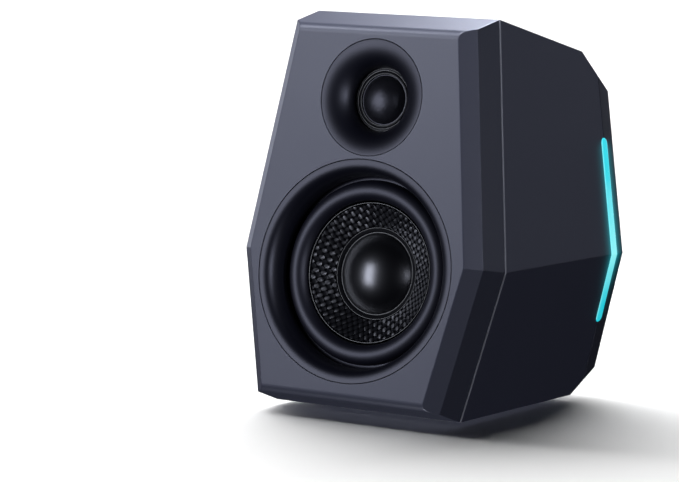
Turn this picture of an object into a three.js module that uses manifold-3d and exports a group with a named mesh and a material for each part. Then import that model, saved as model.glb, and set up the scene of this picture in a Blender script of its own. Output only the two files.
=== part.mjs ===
// Active bookshelf speaker with a faceted cabinet: a 4-inch woofer, a 1-inch dome tweeter, a rear control
// panel and a light strip on each side. Millimetres, +Z up. The face looks along -Y and leans back. The
// origin is on the floor, under the middle of the speaker's box. The default export is the group of parts.
import * as THREE from "three";
import { mergeVertices } from "three/addons/utils/BufferGeometryUtils.js";
import Module from "manifold-3d";

const wasm = await Module();
wasm.setup();

// ---- Driving dimensions -------------------------------------------------------------------------
const LEAN = THREE.MathUtils.degToRad(8); // the face leans back by this
const FACE_LIFT = 11; // floor to the face's lower edge
const FACE_HEIGHT = 187.3; // along the face, sharp edge to sharp edge
const FACE_BEND = 71.7; // lower edge to the widest line, along the face
const FACE_HALF = { top: 46.2, bend: 62.8, bottom: 46.9 };
const EDGE_ROUND = 4; // where the rounding of the face's top and bottom edges starts
const CHAMFER = { out: 7.2, deep: 7.1 }; // first side facet, from the face
const FLARE = { out: 1.6, deep: 20.3 }; // second side facet, up to the seam
const TOP_RISE = THREE.MathUtils.degToRad(19.8); // bezel top, against the face's normal
const BOTTOM_DROP = THREE.MathUtils.degToRad(10); // bezel underside, against the face's normal
const ROOF_FALL = THREE.MathUtils.degToRad(12); // cabinet top, falling to the rear
const WALL = 4;
const GAP = 0.3; // between neighbouring pieces
const GASKET_THICK = 0.8;

const REAR_SEAM_Y = 153.9; // between the cabinet shell and the rear cover, from the face's lower edge
const REAR_Y = 163.8; // the rear cover's back face
const REAR_TOP = { startY: 138.8, endZ: 163.1 }; // slanted top of the rear
const REAR_BOTTOM = { startY: 142.4, endZ: 15.4 }; // slanted bottom of the rear
const FOOT_PROUD = 2.5; // the cabinet's underside above the floor

const WOOFER_AT = 64.9; // centre, along the face from its lower edge
const WOOFER_RING_R = 56.2;
const TWEETER_AT = 152.3;
const TWEETER_RING_R = 29.35;
const SKIN = 0.9; // thickness of the cone and its surround

const PORT = { z: 135, bore: 15.5, mouth: 22, neck: 22.8, flange: 25, lip: 2, innerEndY: 96, sides: 30 };
const PANEL = { z: 61, width: 94, height: 80, thick: 2, backY: 162.6, corner: 4 };
const LIGHT = { low: 41.5, high: 138.9, width: 5.8, deep: 4.2, proud: 0.5 };

const WOOFER_SIDES = 36; // facets round the woofer's circles
const TWEETER_SIDES = 24;
const SMALL_SIDES = 12; // facets round holes and small parts

const DARK_PLASTIC = 0x33343d;
const BLACK_PLASTIC = 0x101015;
const RUBBER = 0x0c0c0e;
const STEEL = 0x9a9ca0;
const LIGHT_BLUE = 0x35e6ea;
const BOARD_GREEN = 0x1d4d33;
const COPPER = 0xa5622a;
const FERRITE = 0x26262a;
const ALUMINIUM = 0xb9bcc2;
const CLOTH = 0xb08a4a;
const WADDING = 0x8a8a86;
const SHEATH = { woofer: 0x7d1f1f, tweeter: 0x222228 };

// ---- Solids -------------------------------------------------------------------------------------
const BIG = 1200; // larger than anything that is cut
const FULL_TURN = 2 * Math.PI;

function solid(geometry) {
  const bare = geometry.index ? geometry.toNonIndexed() : geometry.clone();
  bare.deleteAttribute("normal");
  bare.deleteAttribute("uv");
  const merged = mergeVertices(bare, 1e-4);
  return new wasm.Manifold(
    new wasm.Mesh({
      numProp: 3,
      vertProperties: merged.attributes.position.array,
      triVerts: new Uint32Array(merged.index.array),
    }),
  );
}

function geometryOf(manifold) {
  const mesh = manifold.getMesh();
  const geometry = new THREE.BufferGeometry();
  geometry.setAttribute("position", new THREE.BufferAttribute(new Float32Array(mesh.vertProperties), 3));
  geometry.setIndex(new THREE.BufferAttribute(new Uint32Array(mesh.triVerts), 1));
  geometry.computeVertexNormals();
  return geometry;
}

const join = (first, ...rest) => rest.reduce((all, one) => all.add(one), first);
const cut = (first, ...rest) => rest.reduce((left, one) => left.subtract(one), first);

const box = (width, depth, height, x = 0, y = 0, z = 0) =>
  solid(new THREE.BoxGeometry(width, depth, height).translate(x, y, z));

// A cylinder along Y from one y to another.
const rod = (radius, fromY, toY, x = 0, z = 0, sides = SMALL_SIDES) =>
  solid(
    new THREE.CylinderGeometry(radius, radius, toY - fromY, sides).translate(x, (fromY + toY) / 2, z),
  );

// A front view (its x and y become X and Z) extruded along Y from one y to another.
function alongY(shape, fromY, toY, curveSegments = 6) {
  const depth = toY - fromY;
  const geometry = new THREE.ExtrudeGeometry(shape, { depth, bevelEnabled: false, curveSegments });
  return solid(geometry.rotateX(Math.PI / 2).translate(0, toY, 0));
}

// A side view (its x and y become Y and Z) extruded across X, centred on x = 0.
function acrossX(shape, width, curveSegments = 6) {
  const geometry = new THREE.ExtrudeGeometry(shape, { depth: width, bevelEnabled: false, curveSegments });
  const toSide = new THREE.Matrix4().makeBasis(
    new THREE.Vector3(0, 1, 0),
    new THREE.Vector3(0, 0, 1),
    new THREE.Vector3(1, 0, 0),
  );
  return solid(geometry.applyMatrix4(toSide).translate(-width / 2, 0, 0));
}

// Turns a closed outline of [radius, y] points about the Y axis.
function turnedGeometry(outline, sides) {
  const area = outline.reduce((sum, [r, y], i) => {
    const [nextR, nextY] = outline[(i + 1) % outline.length];
    return sum + r * nextY - nextR * y;
  }, 0);
  const points = outline.map(([r, y]) => new THREE.Vector2(r, y));
  if (area < 0) points.reverse();
  return new THREE.LatheGeometry([...points, points[0].clone()], sides);
}
const turned = (outline, sides) => solid(turnedGeometry(outline, sides));

// Points of a quarter curve from [r0, y0], which it leaves along r, to [r1, y1], which it reaches along y.
// It is an ellipse at a power of 2, and squarer above that.
function quarter(r0, y0, r1, y1, steps, power = 2) {
  return Array.from({ length: steps + 1 }, (_, i) => {
    const t = (i / steps) * (Math.PI / 2);
    const inwards = Math.sin(t) ** (2 / power);
    const deeper = 1 - Math.max(0, Math.cos(t)) ** (2 / power);
    return [r0 + (r1 - r0) * inwards, y0 + (y1 - y0) * deeper];
  });
}

// Points of a half circle bulging to -y between two radii.
function roll(inner, outer, y, steps) {
  const middle = (inner + outer) / 2;
  const half = (outer - inner) / 2;
  return Array.from({ length: steps + 1 }, (_, i) => {
    const t = Math.PI * (1 - i / steps);
    return [middle + half * Math.cos(t), y - half * Math.sin(t)];
  });
}

// Everything behind a plane: the part of the solid on the side that the normal points to is removed.
function clip(body, point, normal) {
  const direction = new THREE.Vector3(...normal).normalize();
  const block = new THREE.BoxGeometry(BIG, BIG, BIG).translate(0, 0, BIG / 2);
  block.applyQuaternion(new THREE.Quaternion().setFromUnitVectors(new THREE.Vector3(0, 0, 1), direction));
  block.translate(...point);
  return body.subtract(solid(block));
}

// The convex body inside planes of [point, outward normal], each moved inwards by inset.
function inside(planes, inset = 0) {
  return planes.reduce((body, [point, normal]) => {
    const direction = new THREE.Vector3(...normal).normalize();
    const moved = new THREE.Vector3(...point).addScaledVector(direction, -inset);
    return clip(body, moved.toArray(), normal);
  }, box(BIG / 2, BIG / 2, BIG / 2));
}

// A rectangle with round corners in X and Z, extruded along Y.
function roundedPlate(width, height, corner, fromY, toY, x, z) {
  const shape = new THREE.Shape();
  const w = width / 2 - corner;
  const h = height / 2 - corner;
  shape.absarc(x + w, z + h, corner, 0, Math.PI / 2);
  shape.absarc(x - w, z + h, corner, Math.PI / 2, Math.PI);
  shape.absarc(x - w, z - h, corner, Math.PI, 1.5 * Math.PI);
  shape.absarc(x + w, z - h, corner, 1.5 * Math.PI, FULL_TURN);
  return alongY(shape, fromY, toY, 4);
}

// ---- Scene graph --------------------------------------------------------------------------------
const speaker = new THREE.Group();
const cabinet = new THREE.Group(); // its y is counted from the face's lower edge
speaker.add(cabinet);

const face = new THREE.Group(); // X across, Z up the face, Y into the cabinet
face.position.z = FACE_LIFT;
face.rotation.x = -LEAN;
cabinet.add(face);

const woofer = new THREE.Group();
woofer.position.z = WOOFER_AT;
face.add(woofer);

const tweeter = new THREE.Group();
tweeter.position.z = TWEETER_AT;
face.add(tweeter);

function add(parent, name, manifold, color, roughness = 0.6, metalness = 0) {
  const material = new THREE.MeshStandardMaterial({ color, roughness, metalness });
  const mesh = new THREE.Mesh(geometryOf(manifold), material);
  mesh.name = name;
  parent.add(mesh);
  return mesh;
}

// ---- Cabinet planes -----------------------------------------------------------------------------
const SIDES = [1, -1];
const SEAM_DEPTH = CHAMFER.deep + FLARE.deep;
const SLOPE_UP = (FACE_HALF.bend - FACE_HALF.top) / (FACE_HEIGHT - FACE_BEND);
const SLOPE_DOWN = (FACE_HALF.bend - FACE_HALF.bottom) / FACE_BEND;

// From the face's own frame to the cabinet's.
const fromFace = (x, y, z) =>
  new THREE.Vector3(x, y, z).applyAxisAngle(new THREE.Vector3(1, 0, 0), -LEAN).add(face.position);

// The side facets of the bezel, in the face's frame.
function facetPlanes(half, deep, out) {
  return SIDES.flatMap((side) => [
    [[side * half, deep, FACE_BEND], [side, -out, SLOPE_UP]],
    [[side * half, deep, FACE_BEND], [side, -out, -SLOPE_DOWN]],
  ]);
}
const chamferPlanes = facetPlanes(FACE_HALF.bend, 0, CHAMFER.out / CHAMFER.deep);
const flarePlanes = facetPlanes(FACE_HALF.bend + CHAMFER.out, CHAMFER.deep, FLARE.out / FLARE.deep);
const bezelTop = [[0, 0, FACE_HEIGHT], [0, -Math.tan(TOP_RISE), 1]];
const bezelBottom = [[0, 0, 0], [0, -Math.tan(BOTTOM_DROP), -1]];
const bezelFront = [[0, 0, 0], [0, -1, 0]];

// The cabinet behind the seam, in the cabinet's frame.
const CABINET_HALF = FACE_HALF.bend + CHAMFER.out + FLARE.out;
const bendZ = fromFace(0, SEAM_DEPTH, FACE_BEND).z;
const ridge = fromFace(0, SEAM_DEPTH, FACE_HEIGHT + SEAM_DEPTH * Math.tan(TOP_RISE));
const roofZ = (y) => ridge.z - (y - ridge.y) * Math.tan(ROOF_FALL);
const halfWidth = (z) =>
  CABINET_HALF - (z > bendZ ? (z - bendZ) * SLOPE_UP : (bendZ - z) * SLOPE_DOWN) / Math.cos(LEAN);

const sidePlanes = SIDES.flatMap((side) => [
  [[side * CABINET_HALF, 0, bendZ], [side, 0, SLOPE_UP / Math.cos(LEAN)]],
  [[side * CABINET_HALF, 0, bendZ], [side, 0, -SLOPE_DOWN / Math.cos(LEAN)]],
]);
const roof = [ridge.toArray(), [0, Math.sin(ROOF_FALL), Math.cos(ROOF_FALL)]];
const underside = [[0, 0, FOOT_PROUD], [0, 0, -1]];
const rearFace = [[0, REAR_Y, 0], [0, 1, 0]];
const rearSlantTop = [
  [0, REAR_Y, REAR_TOP.endZ],
  [0, roofZ(REAR_TOP.startY) - REAR_TOP.endZ, REAR_Y - REAR_TOP.startY],
];
const rearSlantBottom = [
  [0, REAR_Y, REAR_BOTTOM.endZ],
  [0, REAR_BOTTOM.endZ - FOOT_PROUD, -(REAR_Y - REAR_BOTTOM.startY)],
];
const cabinetPlanes = [...sidePlanes, roof, underside, rearFace, rearSlantTop, rearSlantBottom];

// Cuts away what lies in front of (side -1) or behind (side 1) a plane parallel to the face at that depth.
const clipAtDepth = (body, depth, side) =>
  clip(body, fromFace(0, depth, 0).toArray(), [0, side * Math.cos(LEAN), -side * Math.sin(LEAN)]);

// ---- Front baffle -------------------------------------------------------------------------------
const BAFFLE_BACK = SEAM_DEPTH - GASKET_THICK / 2 - GAP;
const SHELL_FRONT = SEAM_DEPTH + GASKET_THICK / 2 + GAP;
const RING_SEAT = 3.5; // depth of the ledge that the trim ring and the waveguide sit on
const WOOFER_WELL_R = 53.5;
const WOOFER_SEAT = 16.5; // depth of the face that the woofer's frame is screwed to
const WOOFER_BOSS_R = 61;
const TWEETER_WELL_R = 24.3;
const TWEETER_SEAT = 9.5;
const TWEETER_BOSS_R = 31;
const RING_CLEAR = 0.3;

// Side view of the bezel with its two round edges, extruded across the whole width.
function bezelBlock() {
  const rise = Math.tan(TOP_RISE);
  const drop = Math.tan(BOTTOM_DROP);
  const shape = new THREE.Shape();
  shape.moveTo(BAFFLE_BACK, -BAFFLE_BACK * drop);
  shape.lineTo(BAFFLE_BACK, FACE_HEIGHT + BAFFLE_BACK * rise);
  shape.lineTo(EDGE_ROUND, FACE_HEIGHT + EDGE_ROUND * rise);
  shape.quadraticCurveTo(0, FACE_HEIGHT, 0, FACE_HEIGHT - EDGE_ROUND);
  shape.lineTo(0, EDGE_ROUND);
  shape.quadraticCurveTo(0, 0, EDGE_ROUND, -EDGE_ROUND * drop);
  return acrossX(shape, 2 * CABINET_HALF + 2, 5);
}

function frontBaffle() {
  const facets = [...chamferPlanes, ...flarePlanes];
  const outside = facets.reduce((body, [point, normal]) => clip(body, point, normal), bezelBlock());
  const hollow = inside([...facets, bezelTop, bezelBottom, bezelFront], WALL);
  const bosses = join(
    rod(WOOFER_BOSS_R, WALL - 1, WOOFER_SEAT, 0, WOOFER_AT, WOOFER_SIDES),
    rod(TWEETER_BOSS_R, WALL - 1, TWEETER_SEAT, 0, TWEETER_AT, TWEETER_SIDES),
  ).intersect(outside);
  return cut(
    join(outside.subtract(hollow), bosses),
    rod(WOOFER_RING_R + RING_CLEAR, -1, RING_SEAT, 0, WOOFER_AT, WOOFER_SIDES),
    rod(WOOFER_WELL_R, 0, WOOFER_SEAT + 1, 0, WOOFER_AT, WOOFER_SIDES),
    rod(TWEETER_RING_R + RING_CLEAR, -1, RING_SEAT, 0, TWEETER_AT, TWEETER_SIDES),
    rod(TWEETER_WELL_R, 0, TWEETER_SEAT + 1, 0, TWEETER_AT, TWEETER_SIDES),
  );
}
add(face, "front_baffle", frontBaffle(), DARK_PLASTIC, 0.5);

// ---- Cabinet shell, rear cover and the gasket between shell and baffle --------------------------
const outerBody = inside(cabinetPlanes);
const innerBody = inside(cabinetPlanes, WALL);
const hollowBody = outerBody.subtract(innerBody);
const SHELL_BACK_Y = REAR_SEAM_Y - GAP / 2;
const COVER_FRONT_Y = REAR_SEAM_Y + GAP / 2;

const SCREW_SPOTS = [
  { name: "lower_right", x: 53.5, z: 33 },
  { name: "lower_left", x: -53.5, z: 33 },
  { name: "upper_right", x: 54, z: 144 },
  { name: "upper_left", x: -54, z: 144 },
];
const SCREW = { shankR: 1.6, headR: 3.2, headThick: 2.2, length: 20, bossR: 5, bossLength: 16 };
const SCREW_HEAD_Y = REAR_Y - 3; // the bottom of the counterbore in the rear cover

// The front view of a band that follows the bend of one side, between two insets from its surface.
function sideBand(side, low, high, outer, inner) {
  const shape = new THREE.Shape();
  const levels = [low, bendZ, high];
  const point = (z, inset) => [side * (halfWidth(z) - inset), z];
  shape.moveTo(...point(low, outer));
  levels.slice(1).forEach((z) => shape.lineTo(...point(z, outer)));
  levels.reverse().forEach((z) => shape.lineTo(...point(z, inner)));
  return shape;
}

// The light guide in one side, or with grow the slot that it sits in. Its ends are round in the side view.
function lightBar(side, grow) {
  const [low, high] = [LIGHT.low - grow, LIGHT.high + grow];
  const radius = LIGHT.width / 2 + grow;
  const band = sideBand(side, low, high, -LIGHT.proud - grow, LIGHT.deep + grow);
  const stadium = new THREE.Shape();
  stadium.absarc(REAR_SEAM_Y, high - radius, radius, 0, Math.PI);
  stadium.absarc(REAR_SEAM_Y, low + radius, radius, Math.PI, FULL_TURN);
  return alongY(band, REAR_SEAM_Y - radius, REAR_SEAM_Y + radius).intersect(acrossX(stadium, BIG, 7));
}
const lightSlots = SIDES.map((side) => lightBar(side, GAP));

const FOOT = { radius: 8, thick: 3.5, x: 36, frontY: 46, rearY: 130, sides: 20 };
const footSpots = [
  { name: "front_right", x: FOOT.x, y: FOOT.frontY },
  { name: "front_left", x: -FOOT.x, y: FOOT.frontY },
  { name: "rear_right", x: FOOT.x, y: FOOT.rearY },
  { name: "rear_left", x: -FOOT.x, y: FOOT.rearY },
];
const footSeat = ({ x, y }) =>
  solid(
    new THREE.CylinderGeometry(FOOT.radius + GAP, FOOT.radius + GAP, 2 * (FOOT.thick + GAP), FOOT.sides)
      .rotateX(Math.PI / 2)
      .translate(x, y, 0),
  );

function cabinetShell() {
  let shell = clip(hollowBody, [0, SHELL_BACK_Y, 0], [0, 1, 0]);
  shell = clipAtDepth(shell, SHELL_FRONT, -1);
  const posts = SCREW_SPOTS.map(({ x, z }) =>
    rod(SCREW.bossR, SHELL_BACK_Y - SCREW.bossLength, SHELL_BACK_Y, x, z).intersect(outerBody),
  );
  const holes = SCREW_SPOTS.map(({ x, z }) =>
    rod(SCREW.shankR + GAP, SHELL_BACK_Y - SCREW.bossLength - 1, SHELL_BACK_Y + 1, x, z),
  );
  return cut(join(shell, ...posts), ...holes, ...footSpots.map(footSeat), ...lightSlots);
}
add(cabinet, "cabinet_shell", cabinetShell(), DARK_PLASTIC, 0.55);

const PANEL_LEDGE = 4;
function rearCover() {
  const cover = clip(hollowBody, [0, COVER_FRONT_Y, 0], [0, -1, 0]);
  const throughY = [COVER_FRONT_Y, REAR_Y + 1];
  const opening = roundedPlate(
    PANEL.width - 2 * PANEL_LEDGE, PANEL.height - 2 * PANEL_LEDGE, PANEL.corner, ...throughY, 0, PANEL.z,
  );
  const seat = roundedPlate(
    PANEL.width + 2 * GAP, PANEL.height + 2 * GAP, PANEL.corner + GAP,
    PANEL.backY - PANEL.thick - GAP, REAR_Y + 1, 0, PANEL.z,
  );
  const portSeat = rod(PORT.flange + GAP, REAR_Y - PORT.lip - GAP, REAR_Y + 1, 0, PORT.z, PORT.sides);
  const portHole = rod(PORT.neck + GAP, ...throughY, 0, PORT.z, PORT.sides);
  const posts = SCREW_SPOTS.map(({ x, z }) =>
    rod(SCREW.bossR, COVER_FRONT_Y, REAR_Y - 1, x, z).intersect(outerBody),
  );
  const screwHoles = SCREW_SPOTS.flatMap(({ x, z }) => [
    rod(SCREW.shankR + GAP, ...throughY, x, z),
    rod(SCREW.headR + GAP, SCREW_HEAD_Y - GAP, REAR_Y + 1, x, z),
  ]);
  return cut(join(cover, ...posts), opening, seat, portSeat, portHole, ...screwHoles, ...lightSlots);
}
add(cabinet, "rear_cover", rearCover(), BLACK_PLASTIC, 0.6);

function baffleGasket() {
  const inset = 1.2;
  const width = WALL - inset - 0.4;
  const between = (body) =>
    clipAtDepth(clipAtDepth(body, SEAM_DEPTH - GASKET_THICK / 2, -1), SEAM_DEPTH + GASKET_THICK / 2, 1);
  return between(inside(cabinetPlanes, inset).subtract(inside(cabinetPlanes, inset + width)));
}
add(cabinet, "baffle_gasket", baffleGasket(), RUBBER, 0.9);

// A pan-head screw along Y with a cross recess in its head.
function panScrew() {
  const { shankR, headR, headThick, length } = SCREW;
  const slot = { wide: 0.9, long: 3.4 };
  const body = turned([
    [0, -length],
    [shankR, -length + 3],
    [shankR, 0],
    [headR, 0],
    [headR, headThick * 0.45],
    [headR * 0.7, headThick],
    [0, headThick],
  ], SMALL_SIDES);
  return cut(
    body,
    box(slot.long, headThick, slot.wide, 0, headThick, 0),
    box(slot.wide, headThick, slot.long, 0, headThick, 0),
  );
}
const screwSolid = panScrew();
for (const { name, x, z } of SCREW_SPOTS) {
  add(cabinet, `cover_screw_${name}`, screwSolid, STEEL, 0.35, 1).position.set(x, SCREW_HEAD_Y, z);
}

// ---- Feet ---------------------------------------------------------------------------------------
const footSolid = turned([
  [0, 0],
  [FOOT.radius - 1.2, 0],
  [FOOT.radius, 1.2],
  [FOOT.radius, FOOT.thick],
  [0, FOOT.thick],
], FOOT.sides);
for (const { name, x, y } of footSpots) {
  const foot = add(cabinet, `foot_${name}`, footSolid, RUBBER, 0.9);
  foot.rotation.x = Math.PI / 2;
  foot.position.set(x, y, 0);
}

// ---- Light strips -------------------------------------------------------------------------------
const LIGHT_BOARD = { thick: 1.2, inset: LIGHT.deep + 1, inFront: 6, behind: 2, short: 4 };
function lightBoard(side) {
  const { thick, inset, inFront, behind, short } = LIGHT_BOARD;
  const band = sideBand(side, LIGHT.low + short, LIGHT.high - short, inset, inset + thick);
  return alongY(band, REAR_SEAM_Y - inFront, REAR_SEAM_Y + behind);
}
for (const side of SIDES) {
  const hand = side > 0 ? "right" : "left";
  add(cabinet, `light_guide_${hand}`, lightBar(side, 0), LIGHT_BLUE, 0.3);
  add(cabinet, `light_board_${hand}`, lightBoard(side), BOARD_GREEN, 0.5);
}

// ---- Bass-reflex port ---------------------------------------------------------------------------
function portTube() {
  const tubeWall = 2;
  const flareLength = 14;
  const flare = Array.from({ length: 5 }, (_, i) => {
    const t = (i / 4) * (Math.PI / 2);
    return [PORT.mouth + (PORT.bore - PORT.mouth) * Math.sin(t), REAR_Y - flareLength * (1 - Math.cos(t))];
  });
  const back = [
    [PORT.bore, PORT.innerEndY + 3],
    [PORT.bore + 2, PORT.innerEndY],
    [PORT.bore + tubeWall + 2, PORT.innerEndY],
    [PORT.bore + tubeWall, PORT.innerEndY + 4],
    [PORT.bore + tubeWall, REAR_Y - flareLength],
    [PORT.neck, REAR_Y - 5],
    [PORT.neck, REAR_Y - PORT.lip],
    [PORT.flange, REAR_Y - PORT.lip],
    [PORT.flange, REAR_Y],
  ];
  return turned([...flare, ...back], PORT.sides);
}
add(cabinet, "port_tube", portTube(), BLACK_PLASTIC, 0.5).position.z = PORT.z;

// ---- Acoustic wadding on the cabinet's floor ----------------------------------------------------
const PAD = { width: 76, length: 62, thick: 12, y: 98, above: 0.5 };
const padZ = FOOT_PROUD + WALL + PAD.above + PAD.thick / 2;
add(cabinet, "damping_pad", box(PAD.width, PAD.length, PAD.thick, 0, PAD.y, padZ), WADDING, 1);

// ---- Woofer -------------------------------------------------------------------------------------
// Outlines are [radius, depth behind the face].
const CONE = { edgeR: 35.3, edge: 15.1, neckR: 13.4, neck: 27.8 };
const CAP = { radius: 20.7, base: 23.1, height: 9 };
const SURROUND = { inner: 36.4, outer: 46.6, depth: 15.4, land: 49.2 };
const COIL = { radius: 13.2, thick: 0.8, windingThick: 0.5, winding: 6.5, top: 28.6, end: 46 };
const PLATE = { top: 40, thick: 4, radius: 34, bore: 14.9 };
const MAGNET = { radius: 36, bore: 19, thick: 11.5 };
const YOKE = { radius: 34, thick: 4.5, poleR: 12.4 };
const SPIDER = { depth: 34, inner: 14.3, outer: 28, land: 2.6, waves: 3, height: 1.6, thick: 0.6 };

function trimRing() {
  const foot = 14.4;
  const lip = quarter(WOOFER_RING_R, 0, 48.9, 10.5, 7, 3);
  return turned([
    ...lip,
    [48.5, foot],
    [50.6, foot],
    [51.6, RING_SEAT - GAP],
    [WOOFER_RING_R, RING_SEAT - GAP],
  ], WOOFER_SIDES);
}
add(woofer, "woofer_trim_ring", trimRing(), BLACK_PLASTIC, 0.35);

// A dished basket: flange, six legs and a back ring that carries the motor.
function wooferFrame() {
  const flange = WOOFER_SEAT + GAP;
  const basket = turned([
    [60, flange],
    [60, flange + 2],
    [47.5, flange + 2],
    [44, 24],
    [32, 38],
    [32, PLATE.top - GAP],
    [15.5, PLATE.top - GAP],
    [15.5, 37.5],
    [25.5, 37.5],
    [25.5, SPIDER.depth + SPIDER.thick + GAP],
    [29.2, SPIDER.depth + SPIDER.thick + GAP],
    [42, 22.5],
    [45.5, flange],
  ], WOOFER_SIDES);
  const legs = 6;
  const windows = Array.from({ length: legs }, (_, i) => {
    const window = new THREE.BoxGeometry(40, 11, 13).translate(38, 28.5, 0);
    return solid(window.rotateY((i / legs) * FULL_TURN));
  });
  return cut(basket, ...windows);
}
add(woofer, "woofer_frame", wooferFrame(), BLACK_PLASTIC, 0.5, 0.4);

function wooferSurround() {
  const t = SKIN;
  const front = roll(SURROUND.inner, SURROUND.outer, SURROUND.depth, 6);
  const back = roll(SURROUND.inner + t, SURROUND.outer - t, SURROUND.depth, 4).reverse();
  return turned([
    ...front,
    [SURROUND.land, SURROUND.depth],
    [SURROUND.land, SURROUND.depth + t],
    [SURROUND.outer - t, SURROUND.depth + t],
    ...back,
  ], WOOFER_SIDES);
}
add(woofer, "woofer_surround", wooferSurround(), RUBBER, 0.55);

// The cone, with the flat rim that the surround is glued to.
add(woofer, "woofer_cone", turned([
  [SURROUND.inner - GAP, CONE.edge],
  [SURROUND.inner - GAP, CONE.edge + SKIN],
  [CONE.edgeR, CONE.edge + SKIN],
  [CONE.neckR + 0.9, CONE.neck + 1.4],
  [CONE.neckR + 0.9, CONE.neck],
  [CONE.edgeR, CONE.edge],
], WOOFER_SIDES), 0x17171a, 0.35);

// A spherical cap with its rim just above the cone.
function domeShell(radius, base, height, thick, steps, sides) {
  const sphere = (radius ** 2 + height ** 2) / (2 * height);
  const centre = base - height + sphere;
  const reach = Math.asin(radius / sphere);
  const arc = (r, from, to) =>
    Array.from({ length: steps + 1 }, (_, i) => {
      const angle = from + ((to - from) * i) / steps;
      return [Math.max(0, r * Math.sin(angle)), centre - r * Math.cos(angle)];
    });
  return turned([...arc(sphere, 0, reach), ...arc(sphere - thick, reach, 0)], sides);
}
const capSolid = domeShell(CAP.radius, CAP.base, CAP.height, 0.8, 5, WOOFER_SIDES);
add(woofer, "woofer_dust_cap", capSolid, BLACK_PLASTIC, 0.2);

function voiceCoil({ radius, thick, windingThick, winding, top, end }) {
  return turned([
    [radius, top],
    [radius + thick, top],
    [radius + thick, end - winding],
    [radius + thick + windingThick, end - winding],
    [radius + thick + windingThick, end],
    [radius, end],
  ], TWEETER_SIDES);
}
add(woofer, "woofer_voice_coil", voiceCoil(COIL), COPPER, 0.4, 0.6);

// The corrugated disc that centres the voice coil, with a flat land at its outer edge.
function spider() {
  const { inner, outer, land, depth, waves, height, thick } = SPIDER;
  const folds = 2 * waves;
  const front = Array.from({ length: folds + 1 }, (_, i) => {
    const lift = i % folds === 0 ? 0 : height * (i % 2 ? -0.5 : 0.5);
    return [inner + ((outer - land - inner) * i) / folds, depth + lift];
  });
  front.push([outer, depth]);
  const back = front.map(([r, y]) => [r, y + thick]).reverse();
  return turned([...front, ...back], TWEETER_SIDES);
}
add(woofer, "woofer_spider", spider(), CLOTH, 0.9);

const MAGNET_TOP = PLATE.top + PLATE.thick + GAP;
const YOKE_TOP = MAGNET_TOP + MAGNET.thick + GAP;
add(woofer, "woofer_top_plate", turned([
  [PLATE.bore, PLATE.top],
  [PLATE.radius, PLATE.top],
  [PLATE.radius, PLATE.top + PLATE.thick],
  [PLATE.bore, PLATE.top + PLATE.thick],
], TWEETER_SIDES), STEEL, 0.4, 1);
add(woofer, "woofer_magnet", turned([
  [MAGNET.bore, MAGNET_TOP],
  [MAGNET.radius, MAGNET_TOP],
  [MAGNET.radius, MAGNET_TOP + MAGNET.thick],
  [MAGNET.bore, MAGNET_TOP + MAGNET.thick],
], TWEETER_SIDES), FERRITE, 0.7);
add(woofer, "woofer_yoke", turned([
  [4, PLATE.top - 2],
  [YOKE.poleR, PLATE.top - 2],
  [YOKE.poleR, YOKE_TOP],
  [YOKE.radius, YOKE_TOP],
  [YOKE.radius - 1, YOKE_TOP + YOKE.thick],
  [4, YOKE_TOP + YOKE.thick],
], TWEETER_SIDES), STEEL, 0.4, 1);

// ---- Tweeter ------------------------------------------------------------------------------------
const DOME = { radius: 12.5, base: 13.2, height: 6.6 };
const HORN = { throatR: 16.4, throat: 11 };
const CLAMP = { inner: 14.7, outer: 19, top: 12.4, bottom: 14.6 };
const TWEETER_COIL = { radius: 12, thick: 0.6, windingThick: 0.4, winding: 3, top: 13.6, end: 19.4 };
const TWEETER_MOTOR = { plate: 14.9, plateThick: 3, bore: 13.4, radius: 19.5, magnetThick: 8, poleR: 11.6 };

function waveguide() {
  const bell = quarter(TWEETER_RING_R, 0, HORN.throatR, HORN.throat, 6);
  return turned([
    ...bell,
    [HORN.throatR, HORN.throat + 1.1],
    [22.8, HORN.throat + 1.1],
    [22.8, RING_SEAT - GAP],
    [TWEETER_RING_R, RING_SEAT - GAP],
  ], TWEETER_SIDES);
}
add(tweeter, "tweeter_waveguide", waveguide(), DARK_PLASTIC, 0.5);
add(tweeter, "tweeter_clamp_ring", turned([
  [CLAMP.inner + 0.5, CLAMP.top],
  [CLAMP.outer, CLAMP.top],
  [CLAMP.outer, CLAMP.bottom],
  [CLAMP.inner, CLAMP.bottom],
  [CLAMP.inner, CLAMP.top + 0.5],
], TWEETER_SIDES), BLACK_PLASTIC, 0.25);
const domeSolid = domeShell(DOME.radius, DOME.base, DOME.height, 0.6, 5, TWEETER_SIDES);
add(tweeter, "tweeter_dome", domeSolid, BLACK_PLASTIC, 0.3);
add(tweeter, "tweeter_surround", turned([
  ...roll(DOME.radius + 0.15, CLAMP.inner - 0.15, DOME.base, 5),
  [CLAMP.inner - 0.15, DOME.base + 0.5],
  [DOME.radius + 0.15, DOME.base + 0.5],
], TWEETER_SIDES), RUBBER, 0.5);
add(tweeter, "tweeter_voice_coil", voiceCoil(TWEETER_COIL), COPPER, 0.4, 0.6);

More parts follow.
